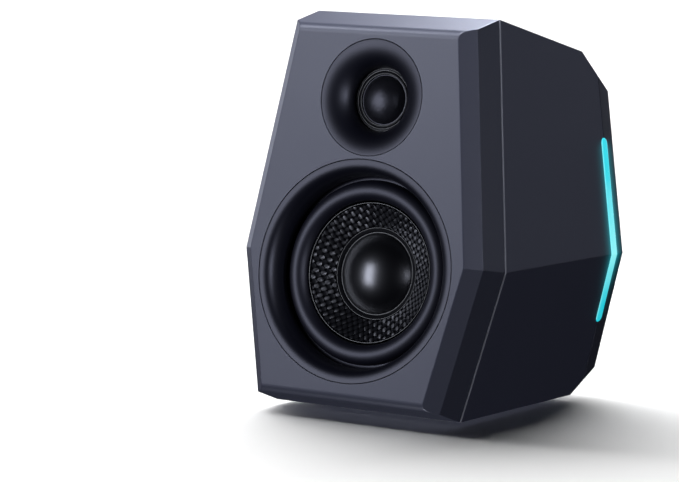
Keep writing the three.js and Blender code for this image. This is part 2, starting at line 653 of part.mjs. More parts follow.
const { plate, plateThick, bore, radius: motorR, magnetThick, poleR } = TWEETER_MOTOR;
const TWEETER_MAGNET = plate + plateThick + GAP;
const TWEETER_YOKE = TWEETER_MAGNET + magnetThick + GAP;
add(tweeter, "tweeter_top_plate", turned([
  [bore, plate],
  [motorR, plate],
  [motorR, plate + plateThick],
  [bore, plate + plateThick],
], TWEETER_SIDES), STEEL, 0.4, 1);
add(tweeter, "tweeter_magnet", turned([
  [15, TWEETER_MAGNET],
  [motorR + 1.5, TWEETER_MAGNET],
  [motorR + 1.5, TWEETER_MAGNET + magnetThick],
  [15, TWEETER_MAGNET + magnetThick],
], TWEETER_SIDES), FERRITE, 0.7);
add(tweeter, "tweeter_yoke", turned([
  [2, plate],
  [poleR, plate],
  [poleR, TWEETER_YOKE],
  [motorR, TWEETER_YOKE],
  [motorR, TWEETER_YOKE + 3],
  [2, TWEETER_YOKE + 3],
], TWEETER_SIDES), STEEL, 0.4, 1);

// ---- Rear control panel -------------------------------------------------------------------------
const PANEL_FRONT_Y = PANEL.backY - PANEL.thick;
const BOARD_Y = 140; // the amplifier board's rear face, which the controls stand on
const SPOTS = {
  volume: { x: 29, z: 82 },
  bass: { x: 0, z: 82 },
  treble: { x: -26, z: 82 },
  phono: { x: 29, z: 56 },
  lineIn: { x: 4, z: 57 },
  usb: { x: -14, z: 57 },
  button: { x: -33, z: 57 },
  rocker: { x: 28, z: 35.5 },
  inlet: { x: 0, z: 35.5 },
  link: { x: -26, z: 35.5 },
};
const BUSH_R = 3.7; // the potentiometers' threaded bushes
const ROCKER = { width: 13, height: 19.5 };
const LINE_R = 3.2;
const INLET_R = 5;
const LINK_R = 7;
const PHONO_PITCH = 15;
const PHONO_R = 4.3;
const BUTTON_R = 2.6;
const USB = { width: 9.4, height: 3.8 };

function controlPanel() {
  const plateBody = roundedPlate(
    PANEL.width, PANEL.height, PANEL.corner, PANEL_FRONT_Y, PANEL.backY, 0, PANEL.z,
  );
  const through = [PANEL_FRONT_Y - 1, PANEL.backY + 1];
  const hole = ({ x, z }, radius) => rod(radius, ...through, x, z);
  const window = ({ x, z }, width, height) => box(width, PANEL.thick + 2, height, x, PANEL_FRONT_Y + 1, z);
  return cut(
    plateBody,
    hole(SPOTS.volume, BUSH_R + GAP),
    hole(SPOTS.bass, BUSH_R + GAP),
    hole(SPOTS.treble, BUSH_R + GAP),
    hole({ x: SPOTS.phono.x - PHONO_PITCH / 2, z: SPOTS.phono.z }, PHONO_R + GAP),
    hole({ x: SPOTS.phono.x + PHONO_PITCH / 2, z: SPOTS.phono.z }, PHONO_R + GAP),
    hole(SPOTS.lineIn, LINE_R + GAP),
    hole(SPOTS.button, BUTTON_R + GAP),
    hole(SPOTS.inlet, INLET_R + GAP),
    hole(SPOTS.link, LINK_R + GAP),
    window(SPOTS.usb, USB.width + 2 * GAP, USB.height + 2 * GAP),
    window(SPOTS.rocker, ROCKER.width + 2 * GAP, ROCKER.height + 2 * GAP),
  );
}
add(cabinet, "control_panel", controlPanel(), 0x1b1c20, 0.5, 0.3);

const BOARD = { width: 84, height: 70, thick: 1.6, z: 60 };
const BOARD_FRONT_Y = BOARD_Y - BOARD.thick;
const CAPACITOR = { radius: 6.5, length: 16, x: 26, z: [76, 60] };
const CHOKE = { radius: 7.5, length: 9, x: 25, z: 40 };

// The board with its two smoothing capacitors and the choke, which are soldered to it.
function amplifierBoard() {
  const soldered = ({ radius, length, x }, z) =>
    rod(radius, BOARD_FRONT_Y - length, BOARD_FRONT_Y + 0.5, x, z);
  return join(
    box(BOARD.width, BOARD.thick, BOARD.height, 0, BOARD_Y - BOARD.thick / 2, BOARD.z),
    ...CAPACITOR.z.map((z) => soldered(CAPACITOR, z)),
    soldered(CHOKE, CHOKE.z),
  );
}
add(cabinet, "amplifier_board", amplifierBoard(), BOARD_GREEN, 0.5);

const SINK = { x: -14, width: 46, height: 50, thick: 3, deep: 15.5, fins: 8, finThick: 1.6 };
function heatSink() {
  const backY = BOARD_FRONT_Y - GAP;
  const base = box(SINK.width, SINK.thick, SINK.height, SINK.x, backY - SINK.thick / 2, BOARD.z);
  const pitch = (SINK.width - SINK.finThick) / (SINK.fins - 1);
  const finLength = SINK.deep - 1;
  const fins = Array.from({ length: SINK.fins }, (_, i) => {
    const x = SINK.x - (SINK.width - SINK.finThick) / 2 + i * pitch;
    return box(SINK.finThick, finLength, SINK.height, x, backY - SINK.deep + finLength / 2, BOARD.z);
  });
  return join(base, ...fins);
}
add(cabinet, "heat_sink", heatSink(), ALUMINIUM, 0.4, 1);

// Potentiometers: a can on the board, a threaded bush up to the panel, a shaft and a knob.
const KNOBS = [
  { name: "volume", knobR: 8.5, knobLength: 11 },
  { name: "bass", knobR: 6, knobLength: 9.5 },
  { name: "treble", knobR: 6, knobLength: 9.5 },
];
const SHAFT = { radius: 3, startY: BOARD_Y + 6 };
const KNOB_Y = PANEL.backY + 1;
const KNOB_TOP = 3; // solid end of a knob, behind its shaft's hole

const knobSolid = (knobR, knobLength) =>
  turned([
    [0, knobLength - KNOB_TOP],
    [0, knobLength],
    [knobR - 1.2, knobLength],
    [knobR, knobLength - 1.2],
    [knobR, 0],
    [SHAFT.radius + GAP, 0],
    [SHAFT.radius + GAP, knobLength - KNOB_TOP],
  ], 24);

function potentiometer() {
  const can = box(12, 6.5, 12, 0, BOARD_Y + GAP + 3.25, 0);
  const bush = rod(BUSH_R, BOARD_Y + 6, PANEL.backY + 0.5);
  const bore = rod(SHAFT.radius + GAP, SHAFT.startY - GAP, PANEL.backY + 2);
  return join(can, bush).subtract(bore);
}

for (const { name, knobR, knobLength } of KNOBS) {
  const { x, z } = SPOTS[name];
  const shaft = rod(SHAFT.radius, SHAFT.startY, KNOB_Y + knobLength - KNOB_TOP - GAP);
  add(cabinet, `${name}_potentiometer`, potentiometer(), STEEL, 0.4, 0.8).position.set(x, 0, z);
  add(cabinet, `${name}_shaft`, shaft, STEEL, 0.4, 1).position.set(x, 0, z);
  const knob = add(cabinet, `${name}_knob`, knobSolid(knobR, knobLength), BLACK_PLASTIC, 0.5);
  knob.position.set(x, KNOB_Y, z);
}

// Every socket is a block on the board with a collar that comes out through the panel.
const SOCKET_Y = [BOARD_Y + GAP, PANEL_FRONT_Y - GAP];
const socketBlock = (width, height) =>
  box(width, SOCKET_Y[1] - SOCKET_Y[0], height, 0, (SOCKET_Y[0] + SOCKET_Y[1]) / 2, 0);

function addSocket(name, manifold, { x, z }) {
  add(cabinet, name, manifold, BLACK_PLASTIC, 0.4).position.set(x, 0, z);
}

function phonoSockets() {
  const centres = SIDES.map((side) => (side * PHONO_PITCH) / 2);
  const collars = centres.map((x) => rod(PHONO_R, PANEL_FRONT_Y - 2, PANEL.backY + 7, x, 0));
  const bores = centres.map((x) => rod(1.7, PANEL_FRONT_Y - 6, PANEL.backY + 8, x, 0));
  return cut(join(socketBlock(2 * PHONO_PITCH - 4, 12), ...collars), ...bores);
}

function roundSocket(blockWidth, collarR, boreR, boreDepth, proud) {
  const endY = PANEL.backY + proud;
  const collar = rod(collarR, PANEL_FRONT_Y - 2, endY);
  return cut(join(socketBlock(blockWidth, blockWidth), collar), rod(boreR, endY - boreDepth, endY + 1));
}

const inletPin = rod(1, PANEL.backY - 11, PANEL.backY - 1);
const linkKey = box(2.4, 7, 1.4, 0, PANEL.backY - 4, -LINK_R + 3);
addSocket("phono_sockets", phonoSockets(), SPOTS.phono);
addSocket("line_in_socket", roundSocket(10, LINE_R, 1.8, 14, 1), SPOTS.lineIn);
addSocket("power_inlet", join(roundSocket(12, INLET_R, 3.2, 10, 0.6), inletPin), SPOTS.inlet);
addSocket("speaker_link_socket", join(roundSocket(15, LINK_R, 4.8, 8, 0.6), linkKey), SPOTS.link);

function usbSocket() {
  const startY = BOARD_Y + GAP;
  const length = PANEL.backY - startY;
  const shell = box(USB.width, length, USB.height, 0, startY + length / 2, 0);
  const mouth = box(USB.width - 1, 7, USB.height - 1, 0, PANEL.backY - 3, 0);
  const tongue = box(USB.width - 3.5, 6, 0.8, 0, PANEL.backY - 4.5, 0);
  return join(shell.subtract(mouth), tongue);
}
add(cabinet, "usb_socket", usbSocket(), STEEL, 0.35, 1).position.set(SPOTS.usb.x, 0, SPOTS.usb.z);

// The power switch: a housing with a frame, and a rocker on two short trunnions that rests with its upper
// half pressed in.
const ROCKER_TILT = THREE.MathUtils.degToRad(9);
const ROCKER_PIVOT_Y = PANEL.backY - 3;
const TRUNNION_R = 1.2;
const crossRod = (radius, length) =>
  solid(new THREE.CylinderGeometry(radius, radius, length, SMALL_SIDES).rotateZ(Math.PI / 2));

function switchHousing() {
  const { width, height } = ROCKER;
  const frame = { proud: 1.5, thick: 1.2 };
  const body = box(width, 14 + frame.thick, height, 0, PANEL.backY - 7 + frame.thick / 2, 0);
  const rim = box(width + 3, frame.thick, height + 3, 0, PANEL.backY + frame.proud - frame.thick / 2, 0);
  const pocket = box(width - 3, 13, height - 2.4, 0, PANEL.backY - 3, 0);
  const pivots = crossRod(TRUNNION_R + GAP, width + 1).translate([0, ROCKER_PIVOT_Y, 0]);
  return cut(join(body, rim), pocket, pivots);
}
addSocket("power_switch_housing", switchHousing(), SPOTS.rocker);

function rockerSolid() {
  const half = ROCKER.height / 2 - 2.3;
  const width = ROCKER.width - 4;
  const [back, end, middle] = [-2.6, 4.6, 3.2];
  const outline = new THREE.Shape();
  outline.moveTo(back, -half);
  outline.lineTo(end, -half);
  outline.quadraticCurveTo(middle, 0, end, half);
  outline.lineTo(back, half);
  return acrossX(outline, width).add(crossRod(TRUNNION_R, width + 2));
}
const rocker = add(cabinet, "power_rocker", rockerSolid(), BLACK_PLASTIC, 0.35);
rocker.position.set(SPOTS.rocker.x, ROCKER_PIVOT_Y, SPOTS.rocker.z);
rocker.rotation.x = ROCKER_TILT;

// The light button and the small switch that it presses.
const BUTTON_TRAVEL = 1;
const BUTTON_START_Y = BOARD_Y + 9;
add(cabinet, "light_button", turned([
  [0, BUTTON_START_Y],
  [BUTTON_R + 1, BUTTON_START_Y],
  [BUTTON_R + 1, PANEL_FRONT_Y - GAP],
  [BUTTON_R, PANEL_FRONT_Y - GAP],
  [BUTTON_R, PANEL.backY + 2],
  [BUTTON_R - 0.6, PANEL.backY + 2.6],
  [0, PANEL.backY + 2.6],
], SMALL_SIDES), 0x3c3d44, 0.45).position.set(SPOTS.button.x, 0, SPOTS.button.z);
add(cabinet, "light_button_switch", join(
  box(6, 4.5, 6, 0, BOARD_Y + GAP + 2.25, 0),
  rod(1.7, BOARD_Y + 4, BUTTON_START_Y - BUTTON_TRAVEL - GAP),
), STEEL, 0.4, 0.5).position.set(SPOTS.button.x, 0, SPOTS.button.z);

// ---- Internal leads -----------------------------------------------------------------------------
// Each two-core lead is one tube from the amplifier board to its driver.
const LEAD_R = 1.6;
function lead(steps, ...points) {
  const extrudePath = new THREE.CatmullRomCurve3(points.map((point) => new THREE.Vector3(...point)));
  const section = new THREE.Shape();
  section.absarc(0, 0, LEAD_R, 0, FULL_TURN);
  const options = { steps, bevelEnabled: false, extrudePath, curveSegments: 4 };
  return solid(new THREE.ExtrudeGeometry(section, options));
}
const wooferLead = lead(
  22,
  [-30, 137.9, 90],
  [-30, 133, 90],
  [-32, 114, 86],
  [-40, 92, 76],
  [-43, 72, 66],
  [-40, 52, 58],
  [-37, 47, 57],
);
const tweeterLead = lead(
  24,
  [14, 137.9, 91],
  [14, 133, 91],
  [25, 112, 106],
  [30, 88, 124],
  [22, 72, 140],
  [12, 62, 147],
  [8, 56.5, 148],
);
add(cabinet, "woofer_lead", wooferLead, SHEATH.woofer, 0.6);
add(cabinet, "tweeter_lead", tweeterLead, SHEATH.tweeter, 0.6);

// The origin goes under the middle of the whole speaker's box.
const bounds = new THREE.Box3().setFromObject(speaker, true);
cabinet.position.y = -(bounds.min.y + bounds.max.y) / 2;

export default speaker;
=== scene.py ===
"""The looks of an active bookshelf speaker with a faceted cabinet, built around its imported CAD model.

Sizes are in millimetres until a matrix below turns them to metres in the model's frame. The cabinet's own
frame counts y from the face's lower edge. The face's frame has x across, y as the depth behind the face and z
up along it.
"""

import math

import bmesh
import bpy
import numpy as np
from mathutils import Matrix, Vector


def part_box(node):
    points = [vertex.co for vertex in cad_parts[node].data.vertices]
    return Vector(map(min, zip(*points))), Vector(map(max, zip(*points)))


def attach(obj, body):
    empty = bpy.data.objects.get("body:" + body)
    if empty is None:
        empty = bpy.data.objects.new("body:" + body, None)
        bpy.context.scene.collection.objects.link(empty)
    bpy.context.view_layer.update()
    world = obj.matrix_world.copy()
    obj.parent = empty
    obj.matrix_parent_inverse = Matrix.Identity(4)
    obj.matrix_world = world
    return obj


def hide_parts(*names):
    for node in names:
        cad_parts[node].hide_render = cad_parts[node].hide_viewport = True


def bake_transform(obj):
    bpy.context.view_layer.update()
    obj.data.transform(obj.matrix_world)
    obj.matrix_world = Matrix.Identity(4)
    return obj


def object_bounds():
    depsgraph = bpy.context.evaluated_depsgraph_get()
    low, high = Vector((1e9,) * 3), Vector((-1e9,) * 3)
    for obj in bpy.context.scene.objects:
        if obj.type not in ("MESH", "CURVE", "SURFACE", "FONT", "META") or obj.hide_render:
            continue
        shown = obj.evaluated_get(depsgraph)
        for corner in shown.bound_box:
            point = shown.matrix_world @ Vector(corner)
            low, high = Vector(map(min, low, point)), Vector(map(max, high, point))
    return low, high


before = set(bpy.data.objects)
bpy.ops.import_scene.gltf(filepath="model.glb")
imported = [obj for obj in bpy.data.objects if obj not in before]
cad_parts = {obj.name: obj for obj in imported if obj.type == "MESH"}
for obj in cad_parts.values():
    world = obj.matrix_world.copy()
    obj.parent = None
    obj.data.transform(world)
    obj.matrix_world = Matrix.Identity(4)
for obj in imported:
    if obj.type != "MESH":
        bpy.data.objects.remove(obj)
CAD_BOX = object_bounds()

# ---- Driving dimensions ----

MM = 0.001
BIG = 600

LEAN = math.radians(8)
FACE_LIFT = 11
FACE_HEIGHT = 187.3
FACE_BEND = 71.7
FACE_HALF = {"top": 46.2, "bend": 62.8, "bottom": 46.9}
EDGE_ROUND = 4
CHAMFER = {"out": 7.2, "deep": 7.1}
FLARE = {"out": 1.6, "deep": 20.3}
TOP_RISE = math.tan(math.radians(19.8))
BOTTOM_DROP = math.tan(math.radians(10))
ROOF_FALL = math.radians(12)
EDGE_EASE = 0.45
WALL = 4
GAP = 0.3
GASKET = 0.8

REAR_SEAM_Y = 153.9
REAR_Y = 163.8
REAR_TOP = {"start_y": 138.8, "end_z": 163.1}
REAR_BOTTOM = {"start_y": 142.4, "end_z": 15.4}
FOOT_PROUD = 2.5

WOOFER_AT = 64.9
WOOFER_RING_R = 56.2
TWEETER_AT = 152.3
TWEETER_RING_R = 29.35
RING_SEAT = 3.5
PORT = {"z": 135, "bore": 15.5, "mouth": 22, "neck": 22.8, "flange": 25, "lip": 2, "inner_y": 96}
PANEL = {"z": 61, "width": 94, "height": 80, "front_y": 160.6, "back_y": 162.6, "corner": 4}
LIGHT = {"low": 41.5, "high": 138.9, "width": 5.8, "deep": 4.2, "proud": 0.5}
BOARD_Y = 140.3

SEAM_DEPTH = CHAMFER["deep"] + FLARE["deep"]
BAFFLE_BACK = SEAM_DEPTH - GASKET / 2 - GAP
SHELL_FRONT = SEAM_DEPTH + GASKET / 2 + GAP
SLOPE_UP = (FACE_HALF["bend"] - FACE_HALF["top"]) / (FACE_HEIGHT - FACE_BEND)
SLOPE_DOWN = (FACE_HALF["bend"] - FACE_HALF["bottom"]) / FACE_BEND
CABINET_HALF = FACE_HALF["bend"] + CHAMFER["out"] + FLARE["out"]
SIDES = {"right": 1, "left": -1}

# ---- Frames ----

EDGE_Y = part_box("rear_cover")[1].y / MM - REAR_Y
FACE_IN_CABINET = Matrix.Translation((0, 0, FACE_LIFT)) @ Matrix.Rotation(-LEAN, 4, "X")
CABINET = Matrix.Scale(MM, 4) @ Matrix.Translation((0, EDGE_Y, 0))
FACE = CABINET @ FACE_IN_CABINET
WOOFER = FACE @ Matrix.Translation((0, 0, WOOFER_AT))
TWEETER = FACE @ Matrix.Translation((0, 0, TWEETER_AT))


def rear_spot(x, z):
    """The cabinet's frame, moved to a spot on the rear."""
    return CABINET @ Matrix.Translation((x, 0, z))


def on_face_plane(depth, height):
    """A point of the face's frame on the middle line, in the cabinet's frame."""
    return FACE_IN_CABINET @ Vector((0, depth, height))


BEND_Z = on_face_plane(SEAM_DEPTH, FACE_BEND).z
RIDGE = on_face_plane(SEAM_DEPTH, FACE_HEIGHT + SEAM_DEPTH * TOP_RISE)


def half_width(z):
    """Half of the cabinet's width behind the seam at a height."""
    slope = (z - BEND_Z) * SLOPE_UP if z > BEND_Z else (BEND_Z - z) * SLOPE_DOWN
    return CABINET_HALF - slope / math.cos(LEAN)


# ---- Mesh tools ----


def object_of(name, bm):
    """A scene object that holds the bmesh, which is freed."""
    bmesh.ops.recalc_face_normals(bm, faces=bm.faces)
    mesh = bpy.data.meshes.new(name)
    bm.to_mesh(mesh)
    bm.free()
    obj = bpy.data.objects.new(name, mesh)
    bpy.context.scene.collection.objects.link(obj)
    return obj


def discard(*objects):
    for obj in objects:
        mesh = obj.data
        bpy.data.objects.remove(obj)
        bpy.data.meshes.remove(mesh)


def settle(obj):
    """Applies the object's modifiers to its mesh."""
    depsgraph = bpy.context.evaluated_depsgraph_get()
    mesh = bpy.data.meshes.new_from_object(obj.evaluated_get(depsgraph), depsgraph=depsgraph)
    old = obj.data
    obj.modifiers.clear()
    obj.data = mesh
    bpy.data.meshes.remove(old)


def taken_from(*objects):
    """A bmesh of everything that the objects hold. They are used up."""
    bm = bmesh.new()
    for obj in objects:
        bm.from_mesh(obj.data)
    discard(*objects)
    return bm


def merged(name, *objects):
    """One object of several separate bodies."""
    return object_of(name, taken_from(*objects))


def combine(obj, operation, *tools):
    """Cuts with, joins or keeps only what is inside the tools, which are used up."""
    tool = tools[0] if len(tools) == 1 else merged("tools", *tools)
    modifier = obj.modifiers.new("combine", "BOOLEAN")
    modifier.operation = operation
    modifier.object = tool
    modifier.solver = "EXACT"
    settle(obj)
    discard(tool)
    return obj


def cut(obj, *tools):
    return combine(obj, "DIFFERENCE", *tools)


def soften(obj, width, angle=14, segments=2):
    """Rounds the edges that turn by more than the angle."""
    modifier = obj.modifiers.new("soften", "BEVEL")
    modifier.limit_method = "ANGLE"
    modifier.angle_limit = math.radians(angle)
    modifier.width = width
    modifier.segments = segments
    settle(obj)
    return obj


def smooth(obj, crease):
    """Smooth shading that keeps flat faces flat and edges above the crease angle sharp."""
    obj.data.shade_smooth()
    obj.data.set_sharp_from_angle(angle=math.radians(crease))
    modifier = obj.modifiers.new("flats", "WEIGHTED_NORMAL")
    modifier.keep_sharp = True
    settle(obj)


def convex(name, planes, inset=0.0):
    """The body inside planes of (point, outward normal), each moved inwards by inset."""
    bm = bmesh.new()
    bmesh.ops.create_cube(bm, size=BIG)
    for point, normal in planes:
        direction = Vector(normal).normalized()
        slice_off(bm, Vector(point) - inset * direction, direction)
    return object_of(name, bm)


def slice_off(bm, point, direction):
    """Removes what lies past a plane and closes the body again."""
    everything = bm.verts[:] + bm.edges[:] + bm.faces[:]
    sliced = bmesh.ops.bisect_plane(
        bm, geom=everything, plane_co=point, plane_no=direction, clear_outer=True, dist=1e-5
    )
    rim = [item for item in sliced["geom_cut"] if isinstance(item, bmesh.types.BMEdge)]
    bmesh.ops.edgeloop_fill(bm, edges=rim)


def bridge(bm, ring, following):
    """Joins two closed loops of corners by a band of faces."""
    for i in range(len(ring)):
        after = (i + 1) % len(ring)
        bm.faces.new((ring[i], ring[after], following[after], following[i]))


def welded(name, bm):
    """An object of the bmesh, with the corners that lie on each other joined."""
    bmesh.ops.remove_doubles(bm, verts=bm.verts, dist=1e-4)
    bmesh.ops.dissolve_degenerate(bm, edges=bm.edges, dist=1e-5)
    return object_of(name, bm)


def sweep(name, outline, start, end, axis):
    """A closed outline swept straight from start to end: a (y, z) view along X or an (x, z) view along Y."""
    bm = bmesh.new()
    ends = []
    for at in (start, end):
        points = [(at, u, v) if axis == "X" else (u, at, v) for u, v in outline]
        ends.append([bm.verts.new(point) for point in points])
    bm.faces.new(ends[0])
    bm.faces.new(ends[1])
    bridge(bm, *ends)
    return object_of(name, bm)


def block(name, size, centre, round_edges=0.0):
    """A box, with its edges rounded if asked."""
    bm = bmesh.new()
    bmesh.ops.create_cube(bm, size=1)
    bmesh.ops.transform(bm, matrix=Matrix.Translation(centre) @ Matrix.Diagonal((*size, 1)), verts=bm.verts)
    obj = object_of(name, bm)
    return soften(obj, round_edges) if round_edges else obj


def circle(radius, sides, x=0.0, y=0.0):
    turns = [2 * math.pi * i / sides for i in range(sides)]
    return [(x + radius * math.cos(turn), y + radius * math.sin(turn)) for turn in turns]


def rod(name, radius, start, end, x=0.0, z=0.0, sides=64):
    """A cylinder along Y."""
    return sweep(name, circle(radius, sides, x, z), start, end, "Y")


def plate_outline(width, height, corner, x, z, steps=8):
    """A rectangle with round corners."""
    outline = []
    for quarter_index in range(4):
        middle = math.radians(45 + 90 * quarter_index)
        centre_x = x + math.copysign(width / 2 - corner, math.cos(middle))
        centre_z = z + math.copysign(height / 2 - corner, math.sin(middle))
        for i in range(steps + 1):
            angle = math.radians(90 * (quarter_index + i / steps))
            outline.append((centre_x + corner * math.cos(angle), centre_z + corner * math.sin(angle)))
    return outline


def lathe(name, outline, sides=128):
    """Turns a closed outline of (radius, y) points about the Y axis."""
    bm = bmesh.new()
    rings = []
    for turn in (2 * math.pi * i / sides for i in range(sides)):
        c, s = math.cos(turn), math.sin(turn)
        rings.append([bm.verts.new((r * c, y, r * s)) for r, y in outline])
    for i, ring in enumerate(rings):
        bridge(bm, ring, rings[(i + 1) % sides])
    return welded(name, bm)


def quarter(r0, y0, r1, y1, steps=28, power=2):
    """Points of a quarter ellipse that leaves (r0, y0) along r and reaches (r1, y1) along y.

    A power above 2 makes its start and end flatter and its middle tighter.
    """
    points = []
    for t in (math.pi / 2 * i / steps for i in range(steps + 1)):
        inwards = math.sin(t) ** (2 / power)
        deeper = 1 - max(0.0, math.cos(t)) ** (2 / power)
        points.append((r0 + (r1 - r0) * inwards, y0 + (y1 - y0) * deeper))
    return points


def roll(inner, outer, y, steps):
    """Points of a half circle between two radii, bulging to -y."""
    middle, half = (inner + outer) / 2, (outer - inner) / 2
    turns = [math.pi * (1 - i / steps) for i in range(steps + 1)]
    return [(middle + half * math.cos(t), y - half * math.sin(t)) for t in turns]


def bead(radius, y, thick, sides, name="bead"):
    """A thin ring of round section."""
    return lathe(name, circle(thick, 12, radius, y), sides)


def parabola(start, corner, end, steps):
    """Points of a smooth curve from start to end that bends towards the corner."""
    points = []
    for t in (i / steps for i in range(steps + 1)):
        a, b, c = (1 - t) ** 2, 2 * t * (1 - t), t**2
        points.append(tuple(a * start[k] + b * corner[k] + c * end[k] for k in (0, 1)))
    return points


def eased(outline, radius, steps=3, turn_from=20):
    """A closed outline with its corners rounded, apart from gentle ones and those on the axis."""
    points = [Vector(point) for point in outline]
    result = []
    for i, corner in enumerate(points):
        back = points[i - 1] - corner
        ahead = points[(i + 1) % len(points)] - corner
        turn = math.pi - back.angle(ahead)
        if corner.x < 1e-6 or turn < math.radians(turn_from):
            result.append(tuple(corner))
            continue
        reach = min(radius * math.tan(turn / 2), 0.45 * back.length, 0.45 * ahead.length)
        start = corner + reach * back.normalized()
        end = corner + reach * ahead.normalized()
        for t in (k / steps for k in range(steps + 1)):
            result.append(tuple((1 - t) ** 2 * start + 2 * t * (1 - t) * corner + t**2 * end))
    return result


def sleeve(name, inner, outer, start, end, ease, sides=48):
    """A turned tube with eased edges, or a pin if the inner radius is 0."""
    return lathe(name, eased([(inner, start), (outer, start), (outer, end), (inner, end)], ease), sides)


def dome_outline(radius, base, height, thick, steps):
    """A spherical cap's section: its rim at the base depth, its top nearer to the face by the height."""
    sphere = (radius**2 + height**2) / (2 * height)
    centre = base - height + sphere
    reach = math.asin(radius / sphere)
    outer = [reach * i / steps for i in range(steps + 1)]
    front = [(sphere * math.sin(a), centre - sphere * math.cos(a)) for a in outer]
    inner = sphere - thick
    back = [(inner * math.sin(a), centre - inner * math.cos(a)) for a in reversed(outer)]
    return front + back


# ---- Materials ----


class Finish:
    """A material with a Principled shader, and short ways to make the nodes that drive it."""

    def __init__(self, name, color, roughness, metallic=0.0, shine=0.5, tint=(1, 1, 1)):
        self.name = name
        self.material = bpy.data.materials.new(name)
        self.material.use_nodes = True
        self.tree = self.material.node_tree
        self.shader = self.tree.nodes["Principled BSDF"]
        self.color = (*color, 1)
        self.set("Base Color", self.color)
        self.set("Roughness", roughness)
        self.set("Metallic", metallic)
        self.set("Specular IOR Level", shine)
        self.set("Specular Tint", (*tint, 1))

    def set(self, socket, value):
        self.shader.inputs[socket].default_value = value

    def link(self, output, socket):
        self.tree.links.new(output, self.shader.inputs[socket])

    def node(self, kind, inputs=None, **settings):
        node = self.tree.nodes.new(kind)
        for setting, value in settings.items():
            setattr(node, setting, value)
        for socket, value in (inputs or {}).items():
            if isinstance(value, bpy.types.NodeSocket):
                self.tree.links.new(value, node.inputs[socket])
            else:
                node.inputs[socket].default_value = value
        return node

    def place(self):
        return self.node("ShaderNodeTexCoord").outputs["Object"]

    def axes(self):
        return self.node("ShaderNodeSeparateXYZ", {0: self.place()}).outputs

    def math(self, operation, first, second=0.0, clamp=False):
        settings = {"operation": operation, "use_clamp": clamp}
        return self.node("ShaderNodeMath", {0: first, 1: second}, **settings).outputs[0]

    def noise(self, size, detail=3.0, stretch=(1, 1, 1)):
        """Noise whose features are about that many millimetres."""
        vector = self.node("ShaderNodeMapping", {"Vector": self.place(), "Scale": stretch}).outputs[0]
        inputs = {"Vector": vector, "Scale": 1 / (size * MM), "Detail": detail}
        return self.node("ShaderNodeTexNoise", inputs).outputs["Fac"]

    def ramp(self, value, low, high, to_low, to_high):
        inputs = {"Value": value, "From Min": low, "From Max": high, "To Min": to_low, "To Max": to_high}
        return self.node("ShaderNodeMapRange", inputs).outputs[0]

    def along(self, axis, start, end, at_start, at_end):
        """A ramp between two places on an axis, in millimetres."""
        return self.ramp(axis, start * MM, end * MM, at_start, at_end)

    def blend(self, factor, first, second):
        node = self.node("ShaderNodeMix", data_type="RGBA")
        node.inputs[6].default_value = (*first[:3], 1)
        node.inputs[7].default_value = (*second[:3], 1)
        self.tree.links.new(factor, node.inputs[0])
        return node.outputs[2]

    def vary_color(self, factor, by=0.2):
        """The colour drifts darker and lighter by that share."""
        dark = [channel * (1 - by) for channel in self.color[:3]]
        light = [min(1, channel * (1 + by)) for channel in self.color[:3]]
        self.link(self.blend(factor, dark, light), "Base Color")

    def vary_roughness(self, factor, low, high):
        self.link(self.ramp(factor, 0.3, 0.7, low, high), "Roughness")

    def bump(self, height, distance, strength=1.0):
        """Relief of that many millimetres."""
        inputs = {"Height": height, "Distance": distance * MM, "Strength": strength}
        self.link(self.node("ShaderNodeBump", inputs).outputs[0], "Normal")


def moulded(name, color, roughness, grain=0.35, depth=0.012, **shading):
    """Moulded plastic or rubber: a fine grain, a faint drift of colour and of gloss."""
    finish = Finish(name, color, roughness, **shading)
    finish.vary_color(finish.noise(grain * 3, 3), 0.06)
    finish.vary_roughness(finish.noise(60, 2), roughness - 0.006, roughness + 0.006)
    finish.bump(finish.noise(grain, 2), depth)
    return finish


def brushed(name, color, roughness, stretch):
    """Worked metal: fine lines across one direction."""
    finish = Finish(name, color, roughness, metallic=1.0)
    lines = finish.noise(1.2, 4, stretch)
    finish.vary_color(lines, 0.12)
    finish.vary_roughness(lines, roughness - 0.06, roughness + 0.08)
    finish.bump(lines, 0.01)
    return finish


LIGHT_Y = EDGE_Y + REAR_SEAM_Y
# Painted glow: emission in the cabinet's plastic that stands in for the strips' light on it, in millimetres
# and in shares of its full strength. It fades over "reach" beside a strip, over "tip" at a strip's ends, to
# "far_share" at
# "far" from the bend, and to "lower_share" over "lower" below the bend. It starts between the two half
# widths, and only where the surface faces sideways by the two shares.
PAINTED_GLOW = {
    "color": (0.004, 0.42, 0.50),
    "reach": 2.6,
    "tip": 6,
    "far": 60,
    "far_share": 0.55,
    "lower": 20,
    "lower_share": 0.15,
    "half_width": (58, 60),
    "sideways": (0.6, 0.9),
}
# The lit strips: a pale stretch below and above the bend, a pale front edge, and their strength.
STRIP = {
    "deep": (0.012, 0.64, 0.74),
    "pale": (0.30, 0.92, 0.92),
    "pale_below": 28,
    "pale_above": 45,
    "edge": 0.8,
    "edge_share": 0.6,
    "uneven": 0.08,
    "low_strength": 0.78,
    "strength": 0.88,
}


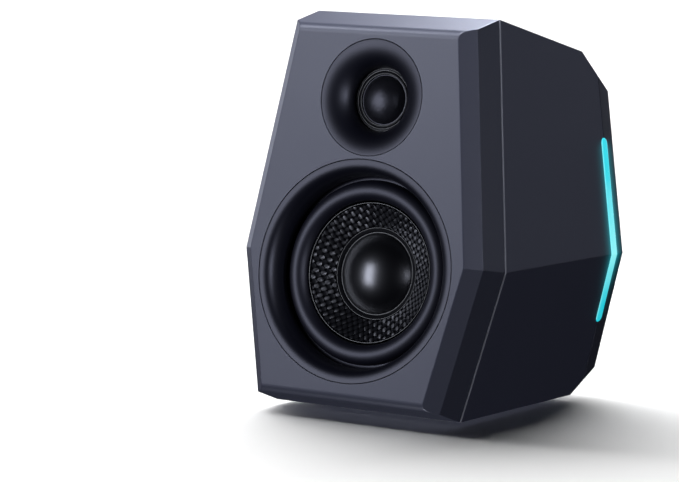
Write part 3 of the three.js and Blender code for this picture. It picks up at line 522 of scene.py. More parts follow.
def add_painted_glow(finish, strength):
    """Painted glow: emission that stands in for the strips' light spilling on the cabinet's sides next to
    them.
    """
    x, y, z = finish.axes()
    low, high, tip = LIGHT["low"], LIGHT["high"], PAINTED_GLOW["tip"]
    off_line = finish.math("ABSOLUTE", finish.math("SUBTRACT", y, LIGHT_Y * MM))
    beyond = finish.math("MAXIMUM", finish.math("SUBTRACT", off_line, LIGHT["width"] / 2 * MM), 0.0)
    from_bend = finish.math("ABSOLUTE", finish.math("SUBTRACT", z, BEND_Z * MM))
    normal = finish.node("ShaderNodeTexCoord").outputs["Normal"]
    sideways = finish.math("ABSOLUTE", finish.node("ShaderNodeSeparateXYZ", {0: normal}).outputs[0])
    factors = [
        finish.along(z, low, low + tip, 0, 1),
        finish.along(z, high - tip, high, 1, 0),
        finish.along(from_bend, 0, PAINTED_GLOW["far"], 1, PAINTED_GLOW["far_share"]),
        finish.along(z, BEND_Z - PAINTED_GLOW["lower"], BEND_Z, PAINTED_GLOW["lower_share"], 1),
        finish.along(finish.math("ABSOLUTE", x), *PAINTED_GLOW["half_width"], 0, 1),
        finish.ramp(sideways, *PAINTED_GLOW["sideways"], 0, 1),
    ]
    total = finish.math("EXPONENT", finish.math("MULTIPLY", beyond, -1 / (PAINTED_GLOW["reach"] * MM)))
    for factor in factors:
        total = finish.math("MULTIPLY", total, factor)
    finish.set("Emission Color", (*PAINTED_GLOW["color"], 1))
    finish.link(finish.math("MULTIPLY", total, strength), "Emission Strength")


def light_guide_finish():
    """The lit strips: cyan, paler towards the bend and along their front edge."""
    finish = Finish("light_guide", (0.02, 0.25, 0.28), 0.25)
    _, y, z = finish.axes()
    rising = finish.along(z, BEND_Z - STRIP["pale_below"], BEND_Z, 0, 1)
    falling = finish.along(z, BEND_Z, BEND_Z + STRIP["pale_above"], 1, 0)
    pale = finish.math("MINIMUM", rising, falling)
    edge_y = LIGHT_Y - LIGHT["width"] / 2
    front = finish.along(y, edge_y, edge_y + STRIP["edge"], STRIP["edge_share"], 0)
    uneven = finish.ramp(finish.noise(7, 2), 0.3, 0.7, -STRIP["uneven"], STRIP["uneven"])
    factor = finish.math("ADD", finish.math("MAXIMUM", pale, front), uneven, clamp=True)
    finish.link(finish.blend(factor, STRIP["deep"], STRIP["pale"]), "Emission Color")
    strength = finish.along(z, LIGHT["low"], BEND_Z, STRIP["low_strength"], STRIP["strength"])
    finish.link(strength, "Emission Strength")
    return finish


def woven_finish():
    """Black glass-fibre cloth in resin. Each tow shines across its threads, and the gaps and low parts of the
    weave get painted shade.
    """
    finish = Finish("woven_cone", (0.012, 0.012, 0.014), 0.3)
    finish.set("IOR", 1.9)
    finish.set("Anisotropic", 0.85)
    height = finish.node("ShaderNodeAttribute", attribute_name="weave").outputs["Fac"]
    across = finish.node("ShaderNodeAttribute", attribute_name="across_tow").outputs["Vector"]
    finish.link(across, "Tangent")
    # Painted shade in the weave's low parts: a darker colour, and no reflection below the tow crowns.
    finish.link(finish.blend(height, (0.0002, 0.0002, 0.0003), (0.004, 0.004, 0.005)), "Base Color")
    finish.link(finish.ramp(height, 0.55, 0.95, 0.0, 1.0), "Specular IOR Level")
    finish.vary_roughness(finish.noise(1.5, 2), 0.27, 0.33)
    return finish


def silk_finish():
    """Doped cloth: a very fine crossed thread under a dark coat."""
    finish = Finish("silk_dome", (0.003, 0.003, 0.004), 0.36, shine=0.45, tint=BLUISH)
    x, _, z = finish.axes()
    thread = 2 * math.pi / (0.3 * MM)
    across = finish.math("SINE", finish.math("MULTIPLY", x, thread))
    up = finish.math("SINE", finish.math("MULTIPLY", z, thread))
    finish.vary_color(finish.noise(3, 3), 0.15)
    finish.vary_roughness(finish.noise(2, 2), 0.34, 0.40)
    finish.bump(finish.math("MULTIPLY", across, up), 0.012)
    return finish


def flecked(name, color, roughness, fleck, size):
    """A mottled surface, such as ferrite, wadding or a lacquered board."""
    finish = Finish(name, color, roughness)
    speckle = finish.noise(size, 4)
    finish.link(finish.blend(finish.ramp(speckle, 0.35, 0.7, 0, 1), color, fleck), "Base Color")
    finish.vary_roughness(speckle, roughness - 0.08, min(1, roughness + 0.08))
    finish.bump(speckle, 0.05)
    return finish


def wound(name, color, pitch):
    """Windings of wire, as ridges round the Y axis."""
    finish = Finish(name, color, 0.35, metallic=0.8)
    _, y, _ = finish.axes()
    ridge = finish.math("SINE", finish.math("MULTIPLY", y, 2 * math.pi / (pitch * MM)))
    finish.vary_color(finish.noise(2, 3), 0.2)
    finish.bump(ridge, 0.04)
    return finish


BLUISH = (0.9, 0.9, 1.0)


def make_materials():
    """Every material by its name."""
    finishes = [
        moulded("bezel_plastic", (0.0213, 0.0222, 0.0315), 0.42),
        moulded("housing_plastic", (0.0209, 0.0218, 0.0335), 0.44),
        moulded("rear_plastic", (0.014, 0.0148, 0.021), 0.46, depth=0.02),
        moulded("trim_plastic", (0.0014, 0.0015, 0.0035), 0.45, shine=0.33, tint=BLUISH),
        moulded("ring_line", (0.13, 0.13, 0.12), 0.45),
        # The pale colour of the painted seam highlight along the cabinet's seam.
        moulded("painted_seam_highlight", (0.20, 0.20, 0.21), 0.45),
        moulded("collar_black", (0.001, 0.001, 0.0015), 0.45, shine=0.08),
        moulded("gloss_black", (0.0006, 0.0006, 0.001), 0.3, depth=0.001, shine=0.6),
        moulded("black_rubber", (0.0015, 0.0015, 0.004), 0.5, 0.25, 0.004, shine=0.36, tint=BLUISH),
        moulded("foot_rubber", (0.012, 0.012, 0.013), 0.75, 0.5, 0.05),
        moulded("painted_steel", (0.02, 0.02, 0.022), 0.5, 0.6, 0.03),
        moulded("panel_metal", (0.011, 0.011, 0.013), 0.5, 0.5, 0.03),
        moulded("knob_plastic", (0.013, 0.013, 0.015), 0.5, 0.3, 0.015),
        moulded("socket_plastic", (0.012, 0.012, 0.013), 0.4),
        moulded("phono_red", (0.42, 0.012, 0.014), 0.4),
        moulded("phono_white", (0.75, 0.74, 0.7), 0.4),
        moulded("marking", (0.6, 0.6, 0.6), 0.6),
        moulded("lead_sheath", (0.12, 0.012, 0.012), 0.5),
        brushed("zinc_steel", (0.62, 0.62, 0.6), 0.3, (1, 1, 12)),
        brushed("nickel", (0.72, 0.7, 0.66), 0.22, (1, 14, 1)),
        brushed("bare_aluminium", (0.7, 0.71, 0.72), 0.36, (1, 1, 9)),
        flecked("ferrite", (0.03, 0.03, 0.032), 0.75, (0.055, 0.052, 0.05), 0.8),
        flecked("spider_cloth", (0.42, 0.25, 0.09), 0.9, (0.5, 0.33, 0.14), 0.5),
        flecked("wadding", (0.55, 0.55, 0.52), 0.97, (0.75, 0.75, 0.72), 1.5),
        flecked("circuit_board", (0.012, 0.075, 0.035), 0.4, (0.02, 0.11, 0.05), 2.5),
        wound("coil_wire", (0.55, 0.2, 0.06), 0.35),
        light_guide_finish(),
        woven_finish(),
        silk_finish(),
    ]
    by_name = {finish.name: finish for finish in finishes}
    # Painted glow from the light strips on the shell's and the rear cover's plastic.
    add_painted_glow(by_name["housing_plastic"], 0.55)
    add_painted_glow(by_name["rear_plastic"], 0.7)
    return {name: finish.material for name, finish in by_name.items()}


MATERIALS = make_materials()


def piece(obj, matrix, material, replaces=(), crease=32, body="cabinet"):
    """Puts a mesh in its place, on its CAD body and in its material."""
    obj.data.transform(matrix)
    smooth(obj, crease)
    obj.data.materials.clear()
    obj.data.materials.append(MATERIALS[material])
    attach(obj, body)
    if replaces:
        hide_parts(*replaces)
    return obj


# ---- Camera and stage ----

VIEW = {
    "azimuth": math.radians(32.059),
    "elevation": math.radians(6.263),
    "roll": math.radians(1.634),
    "target": Vector((-0.04075, -0.02718, 0.08308)),
    "distance": 1.6226,
    "lens": 165.4,
}
SURROUNDINGS = {"strength": 0.012, "color": (0.78, 0.82, 1.0, 1)}
FLOOR_RADIUS = 8.9
BACKDROP_RADIUS = 9


def direction(azimuth, elevation):
    """From the object to a place seen from it: azimuth 0 is in front of the face, positive to the right."""
    level = math.cos(elevation)
    return Vector((math.sin(azimuth) * level, -math.cos(azimuth) * level, math.sin(elevation)))


def make_camera():
    back = direction(VIEW["azimuth"], VIEW["elevation"])
    right = Vector((0, 0, 1)).cross(back).normalized()
    up = back.cross(right)
    axes = Matrix((right, up, back)).transposed().to_4x4()
    data = bpy.data.cameras.new("camera")
    data.lens = VIEW["lens"]
    data.sensor_width = 36
    camera = bpy.data.objects.new("camera", data)
    place = Matrix.Translation(VIEW["target"] + VIEW["distance"] * back)
    camera.matrix_world = place @ axes @ Matrix.Rotation(VIEW["roll"], 4, "Z")
    bpy.context.scene.collection.objects.link(camera)
    bpy.context.scene.camera = camera


def stage_piece(name, bm, finish):
    """A part of the stage. It neither lights nor shades the object, and the object doesn't mirror it."""
    obj = object_of(name, bm)
    obj.data.materials.append(finish.material)
    obj.visible_diffuse = False
    obj.visible_glossy = False
    obj.visible_shadow = False
    return obj


def make_floor():
    """A pale floor."""
    bm = bmesh.new()
    bmesh.ops.create_circle(bm, cap_ends=True, segments=96, radius=FLOOR_RADIUS)
    finish = Finish("floor", (0.86, 0.86, 0.86), 0.9)
    finish.vary_color(finish.noise(400, 2), 0.01)
    return stage_piece("floor", bm, finish)


def make_backdrop():
    """A white surround that only the camera sees."""
    bm = bmesh.new()
    bmesh.ops.create_uvsphere(bm, u_segments=48, v_segments=24, radius=BACKDROP_RADIUS)
    finish = Finish("backdrop", (0, 0, 0), 1.0, shine=0.0)
    finish.set("Emission Color", (1, 1, 1, 1))
    finish.set("Emission Strength", 1.0)
    backdrop = stage_piece("backdrop", bm, finish)
    backdrop.visible_transmission = False
    return backdrop


def make_surroundings():
    """A faint light from all round, so that no side is quite black."""
    world = bpy.data.worlds.new("surroundings")
    world.use_nodes = True
    background = world.node_tree.nodes["Background"]
    background.inputs["Strength"].default_value = SURROUNDINGS["strength"]
    background.inputs["Color"].default_value = SURROUNDINGS["color"]
    bpy.context.scene.world = world


LIGHT_COLOR = (0.80, 0.84, 1.0)
OBJECT_MIDDLE = Vector((0, 0, 0.1))
LIGHT_DISTANCE = 1.5

# Azimuth and elevation in degrees, width and height in metres, power in watts.
CABINET_LIGHTS = {
    "left_low": (-33, 4, 0.30, 0.40, 2.9),
    "left_high": (-30, 25, 0.30, 0.40, 8.5),
    "far_left_high": (-60, 50, 0.40, 0.40, 10.8),
    "overhead": (0, 75, 0.50, 0.50, 56.0),
    "floor_bounce": (0, -60, 0.50, 0.50, 20.0),
    "right_low": (75, 4, 0.30, 0.40, 3.4),
    "right_high": (80, 25, 0.30, 0.40, 1.7),
    "back_right": (120, 4, 0.34, 0.60, 0.9),
    "back": (150, 4, 0.34, 0.60, 0.35),
    "back_low": (186, 6, 0.50, 0.50, 16.0),
    "back_high": (200, 40, 0.50, 0.50, 16.0),
    "left_side": (-100, 6, 0.40, 0.50, 5.0),
}
DRIVER_LIGHTS = {
    "driver_left": (-27, 3, 0.46, 0.92, 23.0),
    "driver_right": (57, 5, 0.22, 0.50, 5.5),
    "driver_far_right": (78, 5, 0.30, 0.50, 15.0),
}
FLOOR_LIGHT = {
    "azimuth": math.radians(-130),
    "elevation": math.radians(31),
    "spread": math.radians(80),
    "power": 8.5,
}
DRIVER_PIECES = {
    "woofer_ring", "surround", "cone", "dust_cap", "cap_collar", "cone_beads",
    "waveguide", "clamp_ring", "clamp_bead", "dome", "dome_bead", "dome_roll",
}


def softbox(name, place, receivers):
    """A rectangular lamp that faces the object and lights only the receivers."""
    azimuth, elevation, width, height, power = place
    data = bpy.data.lights.new(name, "AREA")
    data.shape = "RECTANGLE"
    data.size = width
    data.size_y = height
    data.energy = power
    data.color = LIGHT_COLOR
    lamp = bpy.data.objects.new(name, data)
    away = direction(math.radians(azimuth), math.radians(elevation))
    lamp.location = OBJECT_MIDDLE + LIGHT_DISTANCE * away
    lamp.rotation_euler = away.to_track_quat("Z", "Y").to_euler()
    lamp.light_linking.receiver_collection = receivers
    bpy.context.scene.collection.objects.link(lamp)


def receivers_of(name, objects):
    """A collection that only says which objects a lamp lights."""
    collection = bpy.data.collections.new(name)
    for obj in objects:
        collection.objects.link(obj)
    return collection


def make_floor_lamp(floor):
    """A wide soft light from the left behind, on the floor alone. It gives the contact shadow."""
    data = bpy.data.lights.new("floor_lamp", "SUN")
    data.energy = FLOOR_LIGHT["power"]
    data.angle = FLOOR_LIGHT["spread"]
    lamp = bpy.data.objects.new("floor_lamp", data)
    away = direction(FLOOR_LIGHT["azimuth"], FLOOR_LIGHT["elevation"])
    lamp.rotation_euler = away.to_track_quat("Z", "Y").to_euler()
    lamp.light_linking.receiver_collection = receivers_of("floor_lamp_receivers", [floor])
    bpy.context.scene.collection.objects.link(lamp)


def make_lights(stage):
    """The drivers shine under three level lamps, and the cabinet has softer light from all round it."""
    meshes = [obj for obj in bpy.context.scene.objects if obj.type == "MESH" and obj not in stage]
    drivers = [obj for obj in meshes if obj.name in DRIVER_PIECES]
    others = [obj for obj in meshes if obj.name not in DRIVER_PIECES]
    for group, objects, lights in (
        ("cabinet_pieces", others, CABINET_LIGHTS),
        ("drivers", drivers, DRIVER_LIGHTS),
    ):
        receivers = receivers_of(group, objects)
        for name, place in lights.items():
            softbox(name, place, receivers)


def make_stage():
    make_camera()
    floor = make_floor()
    backdrop = make_backdrop()
    make_surroundings()
    make_floor_lamp(floor)
    bpy.context.scene.view_settings.view_transform = "Standard"
    return floor, backdrop


# ---- Cabinet ----


def facet_planes(half, deep, out):
    """The four side facets of the bezel that start at a half width and a depth, in the face's frame."""
    planes = []
    for side in SIDES.values():
        start = (side * half, deep, FACE_BEND)
        planes.append((start, (side, -out, SLOPE_UP)))
        planes.append((start, (side, -out, -SLOPE_DOWN)))
    return planes


def bezel_outline():
    """Side view of the bezel, with its top and bottom edges rounded."""
    top_back = (EDGE_ROUND, FACE_HEIGHT + EDGE_ROUND * TOP_RISE)
    bottom_back = (EDGE_ROUND, -EDGE_ROUND * BOTTOM_DROP)
    return [
        (BAFFLE_BACK, -BAFFLE_BACK * BOTTOM_DROP),
        (BAFFLE_BACK, FACE_HEIGHT + BAFFLE_BACK * TOP_RISE),
        *parabola(top_back, (0, FACE_HEIGHT), (0, FACE_HEIGHT - EDGE_ROUND), 14),
        *parabola((0, EDGE_ROUND), (0, 0), bottom_back, 14),
    ]


CHAMFER_PLANES = facet_planes(FACE_HALF["bend"], 0, CHAMFER["out"] / CHAMFER["deep"])
FLARE_PLANES = facet_planes(FACE_HALF["bend"] + CHAMFER["out"], CHAMFER["deep"], FLARE["out"] / FLARE["deep"])


# Where each driver is on the face, the radii of its seat, well and boss, and how deep the boss goes.
DRIVER_OPENINGS = [
    {"at": WOOFER_AT, "seat": WOOFER_RING_R + GAP, "well": 53.5, "boss": 61, "boss_back": 16.5},
    {"at": TWEETER_AT, "seat": TWEETER_RING_R + GAP, "well": 24.3, "boss": 31, "boss_back": 9.5},
]


def make_bezel():
    facets = CHAMFER_PLANES + FLARE_PLANES
    bm = taken_from(sweep("bezel_block", bezel_outline(), -90, 90, "X"))
    for point, normal in facets:
        slice_off(bm, Vector(point), Vector(normal).normalized())
    bezel = soften(object_of("bezel", bm), EDGE_EASE)

    limits = [
        ((0, 0, FACE_HEIGHT), (0, -TOP_RISE, 1)),
        ((0, 0, 0), (0, -BOTTOM_DROP, -1)),
        ((0, 0, 0), (0, -1, 0)),
    ]
    hollow = convex("hollow", facets + limits, WALL)
    seats, wells = [], []
    for opening in DRIVER_OPENINGS:
        at, back = opening["at"], opening["boss_back"]
        cut(hollow, rod("boss", opening["boss"], WALL - 1, back, z=at, sides=96))
        seats.append(rod("seat", opening["seat"], -1, RING_SEAT, z=at, sides=192))
        wells.append(rod("well", opening["well"], 0, back + 1, z=at, sides=192))
    cut(bezel, hollow)
    cut(bezel, *seats)
    cut(bezel, *wells)
    piece(bezel, FACE, "bezel_plastic", replaces=["front_baffle"])
    # The softened lower edge may not stand out in front of the CAD model.
    for vertex in bezel.data.vertices:
        vertex.co.y = max(vertex.co.y, CAD_BOX[0].y)


def cabinet_planes():
    """The planes of the cabinet behind the seam, in the cabinet's frame."""
    up, down = SLOPE_UP / math.cos(LEAN), SLOPE_DOWN / math.cos(LEAN)
    planes = []
    for side in SIDES.values():
        start = (side * CABINET_HALF, 0, BEND_Z)
        planes.append((start, (side, 0, up)))
        planes.append((start, (side, 0, -down)))
    slant_top_z = RIDGE.z - (REAR_TOP["start_y"] - RIDGE.y) * math.tan(ROOF_FALL)
    top_normal = (0, slant_top_z - REAR_TOP["end_z"], REAR_Y - REAR_TOP["start_y"])
    bottom_normal = (0, REAR_BOTTOM["end_z"] - FOOT_PROUD, REAR_BOTTOM["start_y"] - REAR_Y)
    planes.append((tuple(RIDGE), (0, math.sin(ROOF_FALL), math.cos(ROOF_FALL))))
    planes.append(((0, 0, FOOT_PROUD), (0, 0, -1)))
    planes.append(((0, REAR_Y, 0), (0, 1, 0)))
    planes.append(((0, REAR_Y, REAR_TOP["end_z"]), top_normal))
    planes.append(((0, REAR_Y, REAR_BOTTOM["end_z"]), bottom_normal))
    return planes


def strip_outline(radius):
    """Side view of a light strip of that half width: (y, z) points with a level at the cabinet's bend."""
    low = LIGHT["low"] + LIGHT["width"] / 2
    high = LIGHT["high"] - LIGHT["width"] / 2
    levels = sorted({*np.linspace(low, high, 40).tolist(), BEND_Z})
    arc = [math.pi * i / 12 for i in range(1, 12)]
    rising = [(REAR_SEAM_Y + radius, z) for z in levels]
    over = [(REAR_SEAM_Y + radius * math.cos(a), high + radius * math.sin(a)) for a in arc]
    falling = [(REAR_SEAM_Y - radius, z) for z in reversed(levels)]
    under = [(REAR_SEAM_Y - radius * math.cos(a), low - radius * math.sin(a)) for a in arc]
    return rising + over + falling + under


def strip_body(name, side, rings):
    """A closed strip through rings of (half width, height above the cabinet's side)."""
    bm = bmesh.new()
    loops = []
    for radius, proud in rings:
        points = [(side * (half_width(z) + proud), y, z) for y, z in strip_outline(radius)]
        loops.append([bm.verts.new(point) for point in points])
    for lower, upper in zip(loops, loops[1:]):
        bridge(bm, lower, upper)
    return welded(name, bm)


def light_slots():
    """The slots that both light strips sit in."""
    wide = LIGHT["width"] / 2 + GAP
    rings = [(0, -LIGHT["deep"] - GAP), (wide, -LIGHT["deep"] - GAP), (wide, 3), (0, 3)]
    return [strip_body("slot", side, rings) for side in SIDES.values()]


def make_light_strips():
    wide = LIGHT["width"] / 2
    edge = [(wide, 0.0), (wide - 0.07, 0.14), (wide - 0.25, 0.28), (wide - 0.6, 0.4)]
    rings = [(0, -LIGHT["deep"]), (wide, -LIGHT["deep"]), *edge, (1.4, 0.47), (0, LIGHT["proud"])]
    for hand, side in SIDES.items():
        strip = strip_body(f"light_strip_{hand}", side, rings)
        piece(strip, CABINET, "light_guide", [f"light_guide_{hand}"], crease=60)


def mirrored(**spots):
    """Each spot on the right, and its mirror image on the left."""
    both = {}
    for name, (x, other) in spots.items():
        for hand, side in SIDES.items():
            both[f"{name}_{hand}"] = (side * x, other)
    return both


FOOT_SPOTS = mirrored(front=(36, 46), rear=(36, 130))
UPRIGHT = Matrix.Rotation(math.radians(90), 4, "X")


def seam_planes(depth):
    """A plane square to the face's depth, as the front limit of what is behind it, in the cabinet's frame."""
    return tuple(on_face_plane(depth, 0)), Vector((0, -math.cos(LEAN), math.sin(LEAN)))


def make_painted_seam_highlight():
    """A painted highlight: a pale strip between the bezel and the shell that stands in for the light the
    seam's edges catch, no higher than the CAD model.
    """
    front, facing = seam_planes(SHELL_FRONT - 0.8)
    back, _ = seam_planes(SHELL_FRONT - 0.05)
    highest = (0, 0, CAD_BOX[1].z / MM)
    limits = [(front, facing), (back, -facing), (highest, (0, 0, 1))]
    line = convex("painted_seam_highlight", cabinet_planes() + limits)
    cut(line, convex("hollow", cabinet_planes(), 1.2))
    piece(line, CABINET, "painted_seam_highlight")


def make_shell():
    front, facing = seam_planes(SHELL_FRONT)
    limits = [(front, facing), ((0, REAR_SEAM_Y - GAP / 2, 0), (0, 1, 0))]
    shell = soften(convex("shell", cabinet_planes() + limits), EDGE_EASE)
    cut(shell, convex("hollow", cabinet_planes(), WALL))
    seats = []
    for x, y in FOOT_SPOTS.values():
        seat = rod("foot_seat", 8.3, -3.8, 3.8, sides=48)
        seat.data.transform(Matrix.Translation((x, y, 0)) @ UPRIGHT)
        seats.append(seat)
    cut(shell, *seats)
    cut(shell, *light_slots())
    piece(shell, CABINET, "housing_plastic", replaces=["cabinet_shell"])


SCREW_SPOTS = mirrored(lower=(53.5, 33), upper=(54, 144))
SCREW_HEAD_Y = REAR_Y - 3


def panel_plate(name, grow, corner, start, end):
    """A plate of the control panel's outline, wider and higher by grow."""
    outline = plate_outline(PANEL["width"] + grow, PANEL["height"] + grow, corner, 0, PANEL["z"])
    return sweep(name, outline, start, end, "Y")


def make_rear_cover():
    limits = [((0, REAR_SEAM_Y + GAP / 2, 0), (0, -1, 0))]
    cover = soften(convex("rear_shell", cabinet_planes() + limits), EDGE_EASE)
    cut(cover, convex("hollow", cabinet_planes(), WALL))
    cut(cover, panel_plate("opening", -8, PANEL["corner"], REAR_SEAM_Y, REAR_Y + 1))
    lip_y = REAR_Y - PORT["lip"] - GAP
    heads = [(SCREW_HEAD_Y - GAP, REAR_Y + 1, x, z) for x, z in SCREW_SPOTS.values()]
    cut(
        cover,
        panel_plate("seat", 2 * GAP, PANEL["corner"] + GAP, PANEL["front_y"] - GAP, REAR_Y + 1),
        rod("port_seat", PORT["flange"] + GAP, lip_y, REAR_Y + 1, z=PORT["z"], sides=128),
        *[rod("counterbore", 3.5, *head, 48) for head in heads],
    )
    cut(cover, rod("port_hole", PORT["neck"] + GAP, REAR_SEAM_Y, REAR_Y + 1, z=PORT["z"], sides=128))
    cut(cover, *light_slots())
    piece(cover, CABINET, "rear_plastic", replaces=["rear_cover"])


def make_screws():
    outline = [(0, -20), (1.5, -17), (1.5, 0), (3.2, 0), (3.2, 1.0), (2.8, 1.75), (2.0, 2.2), (0, 2.2)]
    for spot, (x, z) in SCREW_SPOTS.items():
        screw = lathe(f"screw_{spot}", eased(outline, 0.25), 64)
        cut(screw, block("slot", (3.4, 2.4, 0.9), (0, 2.3, 0)))
        cut(screw, block("slot", (0.9, 2.4, 3.4), (0, 2.3, 0)))
        place = rear_spot(x, z) @ Matrix.Translation((0, SCREW_HEAD_Y, 0))
        piece(screw, place, "zinc_steel", replaces=[f"cover_screw_{spot}"])


def make_feet():
    outline = [(0, 0.5), (2.4, 0.5), (2.7, 0), (6.6, 0), (8, 1.4), (8, 3.5), (0, 3.5)]
    for spot, (x, y) in FOOT_SPOTS.items():
        foot = lathe(f"foot_pad_{spot}", eased(outline, 0.5), 96)
        place = CABINET @ Matrix.Translation((x, y, 0)) @ UPRIGHT
        piece(foot, place, "foot_rubber", [f"foot_{spot}"])


def make_port():
    bore, neck, flange = PORT["bore"], PORT["neck"], PORT["flange"]
    inner_y = PORT["inner_y"]
    lip_y = REAR_Y - PORT["lip"]
    outline = [
        *quarter(PORT["mouth"], REAR_Y, bore, REAR_Y - 14, 20),
        (bore, inner_y + 3), (bore + 2, inner_y), (bore + 4, inner_y), (bore + 2, inner_y + 4),
        (bore + 2, REAR_Y - 14), (neck, REAR_Y - 5), (neck, lip_y), (flange, lip_y), (flange, REAR_Y),
    ]
    port = lathe("port", eased(outline, 0.8, 5), 128)
    piece(port, rear_spot(0, PORT["z"]), "rear_plastic", replaces=["port_tube"])


def make_wadding():
    """A loose pad of acoustic wadding: lumpy, with pulled-in corners."""
    low, high = (Vector(corner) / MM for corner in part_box("damping_pad"))
    size = high - low
    middle = (low + high) / 2
    bm = taken_from(block("wadding_pad", size, middle))
    bmesh.ops.subdivide_edges(bm, edges=bm.edges, cuts=24, use_grid_fill=True)
    for vertex in bm.verts:
        u, v, w = ((vertex.co[k] - middle[k]) / (size[k] / 2) for k in range(3))
        lump = 0.5 + 0.5 * math.sin(0.31 * vertex.co.x + 1.3) * math.sin(0.37 * vertex.co.y + 0.4)
        thin = 1 - 0.35 * max(abs(u) ** 6, abs(v) ** 6) - 0.08 * lump
        vertex.co.z = low.z + (vertex.co.z - low.z) * thin
        shrink = 1 - 0.05 * (w * w) - 0.04 * (u * v) ** 2
        vertex.co.x = middle.x + (vertex.co.x - middle.x) * shrink
        vertex.co.y = middle.y + (vertex.co.y - middle.y) * shrink
    pad = object_of("wadding_pad", bm)
    piece(pad, Matrix.Scale(MM, 4), "wadding", replaces=["damping_pad"], crease=70)


# ---- Woofer ----

CONE = {"edge_r": 35.3, "edge": 15.1, "neck_r": 14.3, "neck": 27.8, "rim_r": 36.1}
CONE_SLOPE = (CONE["neck"] - CONE["edge"]) / (CONE["edge_r"] - CONE["neck_r"])
CAP = {"radius": 20.7, "base": 23.1, "height": 9}
TOW = {"width": 2.55, "turn": math.radians(28), "relief": 0.42}
WOVEN = {"inner": 23.3, "outer": 35.0, "fade": 0.6}


def make_trim_ring():
    lip = quarter(WOOFER_RING_R, 0, 48.9, 10.5, 48, 3)
    foot = [(48.5, 14.4), (50.6, 14.4), (51.6, RING_SEAT - GAP), (WOOFER_RING_R, RING_SEAT - GAP)]
    ring = lathe("woofer_ring", eased(lip + foot, 0.5), 256)
    piece(ring, WOOFER, "trim_plastic", replaces=["woofer_trim_ring"])


def moving_ring(obj, matrix, material, node):
    """Puts a soft ring in its place and material, with smooth shading, and hides its CAD part."""
    obj.data.transform(matrix)
    obj.data.shade_smooth()
    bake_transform(obj)
    obj.data.materials.append(MATERIALS[material])
    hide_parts(node)


def make_woofer_surround():
    inner, outer, depth, land, skin = 36.4, 46.6, 15.4, 49.2, 0.9
    outline = [
        *roll(inner, outer, depth, 40),
        (outer + 0.5, depth), (land, depth), (land, depth + skin), (outer - skin, depth + skin),
        *reversed(roll(inner + skin, outer - skin, depth, 24)),
    ]
    surround = lathe("surround", outline, 192)
    moving_ring(surround, WOOFER, "black_rubber", "woofer_surround")


def weave(x, z):
    """A plain weave of flat tows: its height from 0 to 1, and whether the first family of tows is on top."""
    c, s = math.cos(TOW["turn"]), math.sin(TOW["turn"])
    u, v = (x * c + z * s) / TOW["width"], (z * c - x * s) / TOW["width"]
    column, row = np.floor(u), np.floor(v)
    a, b = u - column - 0.5, v - row - 0.5
    first_on_top = (column + row) % 2 == 0
    across = np.where(first_on_top, b, a)
    along = np.where(first_on_top, a, b)
    height = 0.55 * np.sqrt(np.maximum(0, 1 - (2 * across) ** 2)) + 0.45 * np.cos(np.pi * along)
    return height, first_on_top


def across_the_tows(points, first_on_top):
    """For each point of the cone's face, the direction on its slope that is square to the tow on top."""
    radius = np.maximum(np.hypot(points[:, 0], points[:, 2]), 1e-6)
    outwards = np.stack([points[:, 0] / radius, points[:, 2] / radius], 1)
    c, s = math.cos(TOW["turn"]), math.sin(TOW["turn"])
    threads = np.where(first_on_top[:, None], np.array([[c, s]]), np.array([[-s, c]]))
    drop = -CONE_SLOPE * (threads * outwards).sum(1)
    along = np.stack([threads[:, 0], drop, threads[:, 1]], 1)
    normal = np.stack([-CONE_SLOPE * outwards[:, 0], -np.ones(len(points)), -CONE_SLOPE * outwards[:, 1]], 1)
    across = np.cross(normal, along)
    return across / np.linalg.norm(across, axis=1)[:, None]


def make_cone():
    steps = 110
    drop = CONE["neck"] - CONE["edge"]
    shares = [i / steps for i in range(steps + 1)]
    slope = [(CONE["edge_r"] - share * drop / CONE_SLOPE, CONE["edge"] + share * drop) for share in shares]
    outline = [
        (CONE["rim_r"], CONE["edge"] + 0.9),
        (CONE["rim_r"], CONE["edge"]),
        *slope,
        (CONE["neck_r"], CONE["neck"] + 1.4),
        (CONE["edge_r"], CONE["edge"] + 0.9),
    ]
    cone = lathe("cone", outline, 800)
    mesh = cone.data
    points = np.zeros(len(mesh.vertices) * 3)
    mesh.vertices.foreach_get("co", points)
    points = points.reshape(-1, 3)
    radius = np.hypot(points[:, 0], points[:, 2])
    on_slope = CONE["edge"] + (CONE["edge_r"] - radius) * CONE_SLOPE
    front = np.abs(points[:, 1] - on_slope) < 0.01
    off_inner = np.clip((radius - WOVEN["inner"]) / WOVEN["fade"], 0, 1)
    off_outer = np.clip((WOVEN["outer"] - radius) / WOVEN["fade"], 0, 1)
    fade = off_inner * off_outer * front
    height, first_on_top = weave(points[:, 0], points[:, 2])
    across = across_the_tows(points, first_on_top) @ np.array(WOOFER.to_3x3().normalized().transposed())
    points[:, 1] += fade * TOW["relief"] * (0.5 - height)
    mesh.vertices.foreach_set("co", points.ravel())
    mesh.attributes.new("weave", "FLOAT", "POINT").data.foreach_set("value", height * fade)
    mesh.attributes.new("across_tow", "FLOAT_VECTOR", "POINT").data.foreach_set("vector", across.ravel())
    piece(cone, WOOFER, "woven_cone", replaces=["woofer_cone"], crease=75, body="woofer_diaphragm")


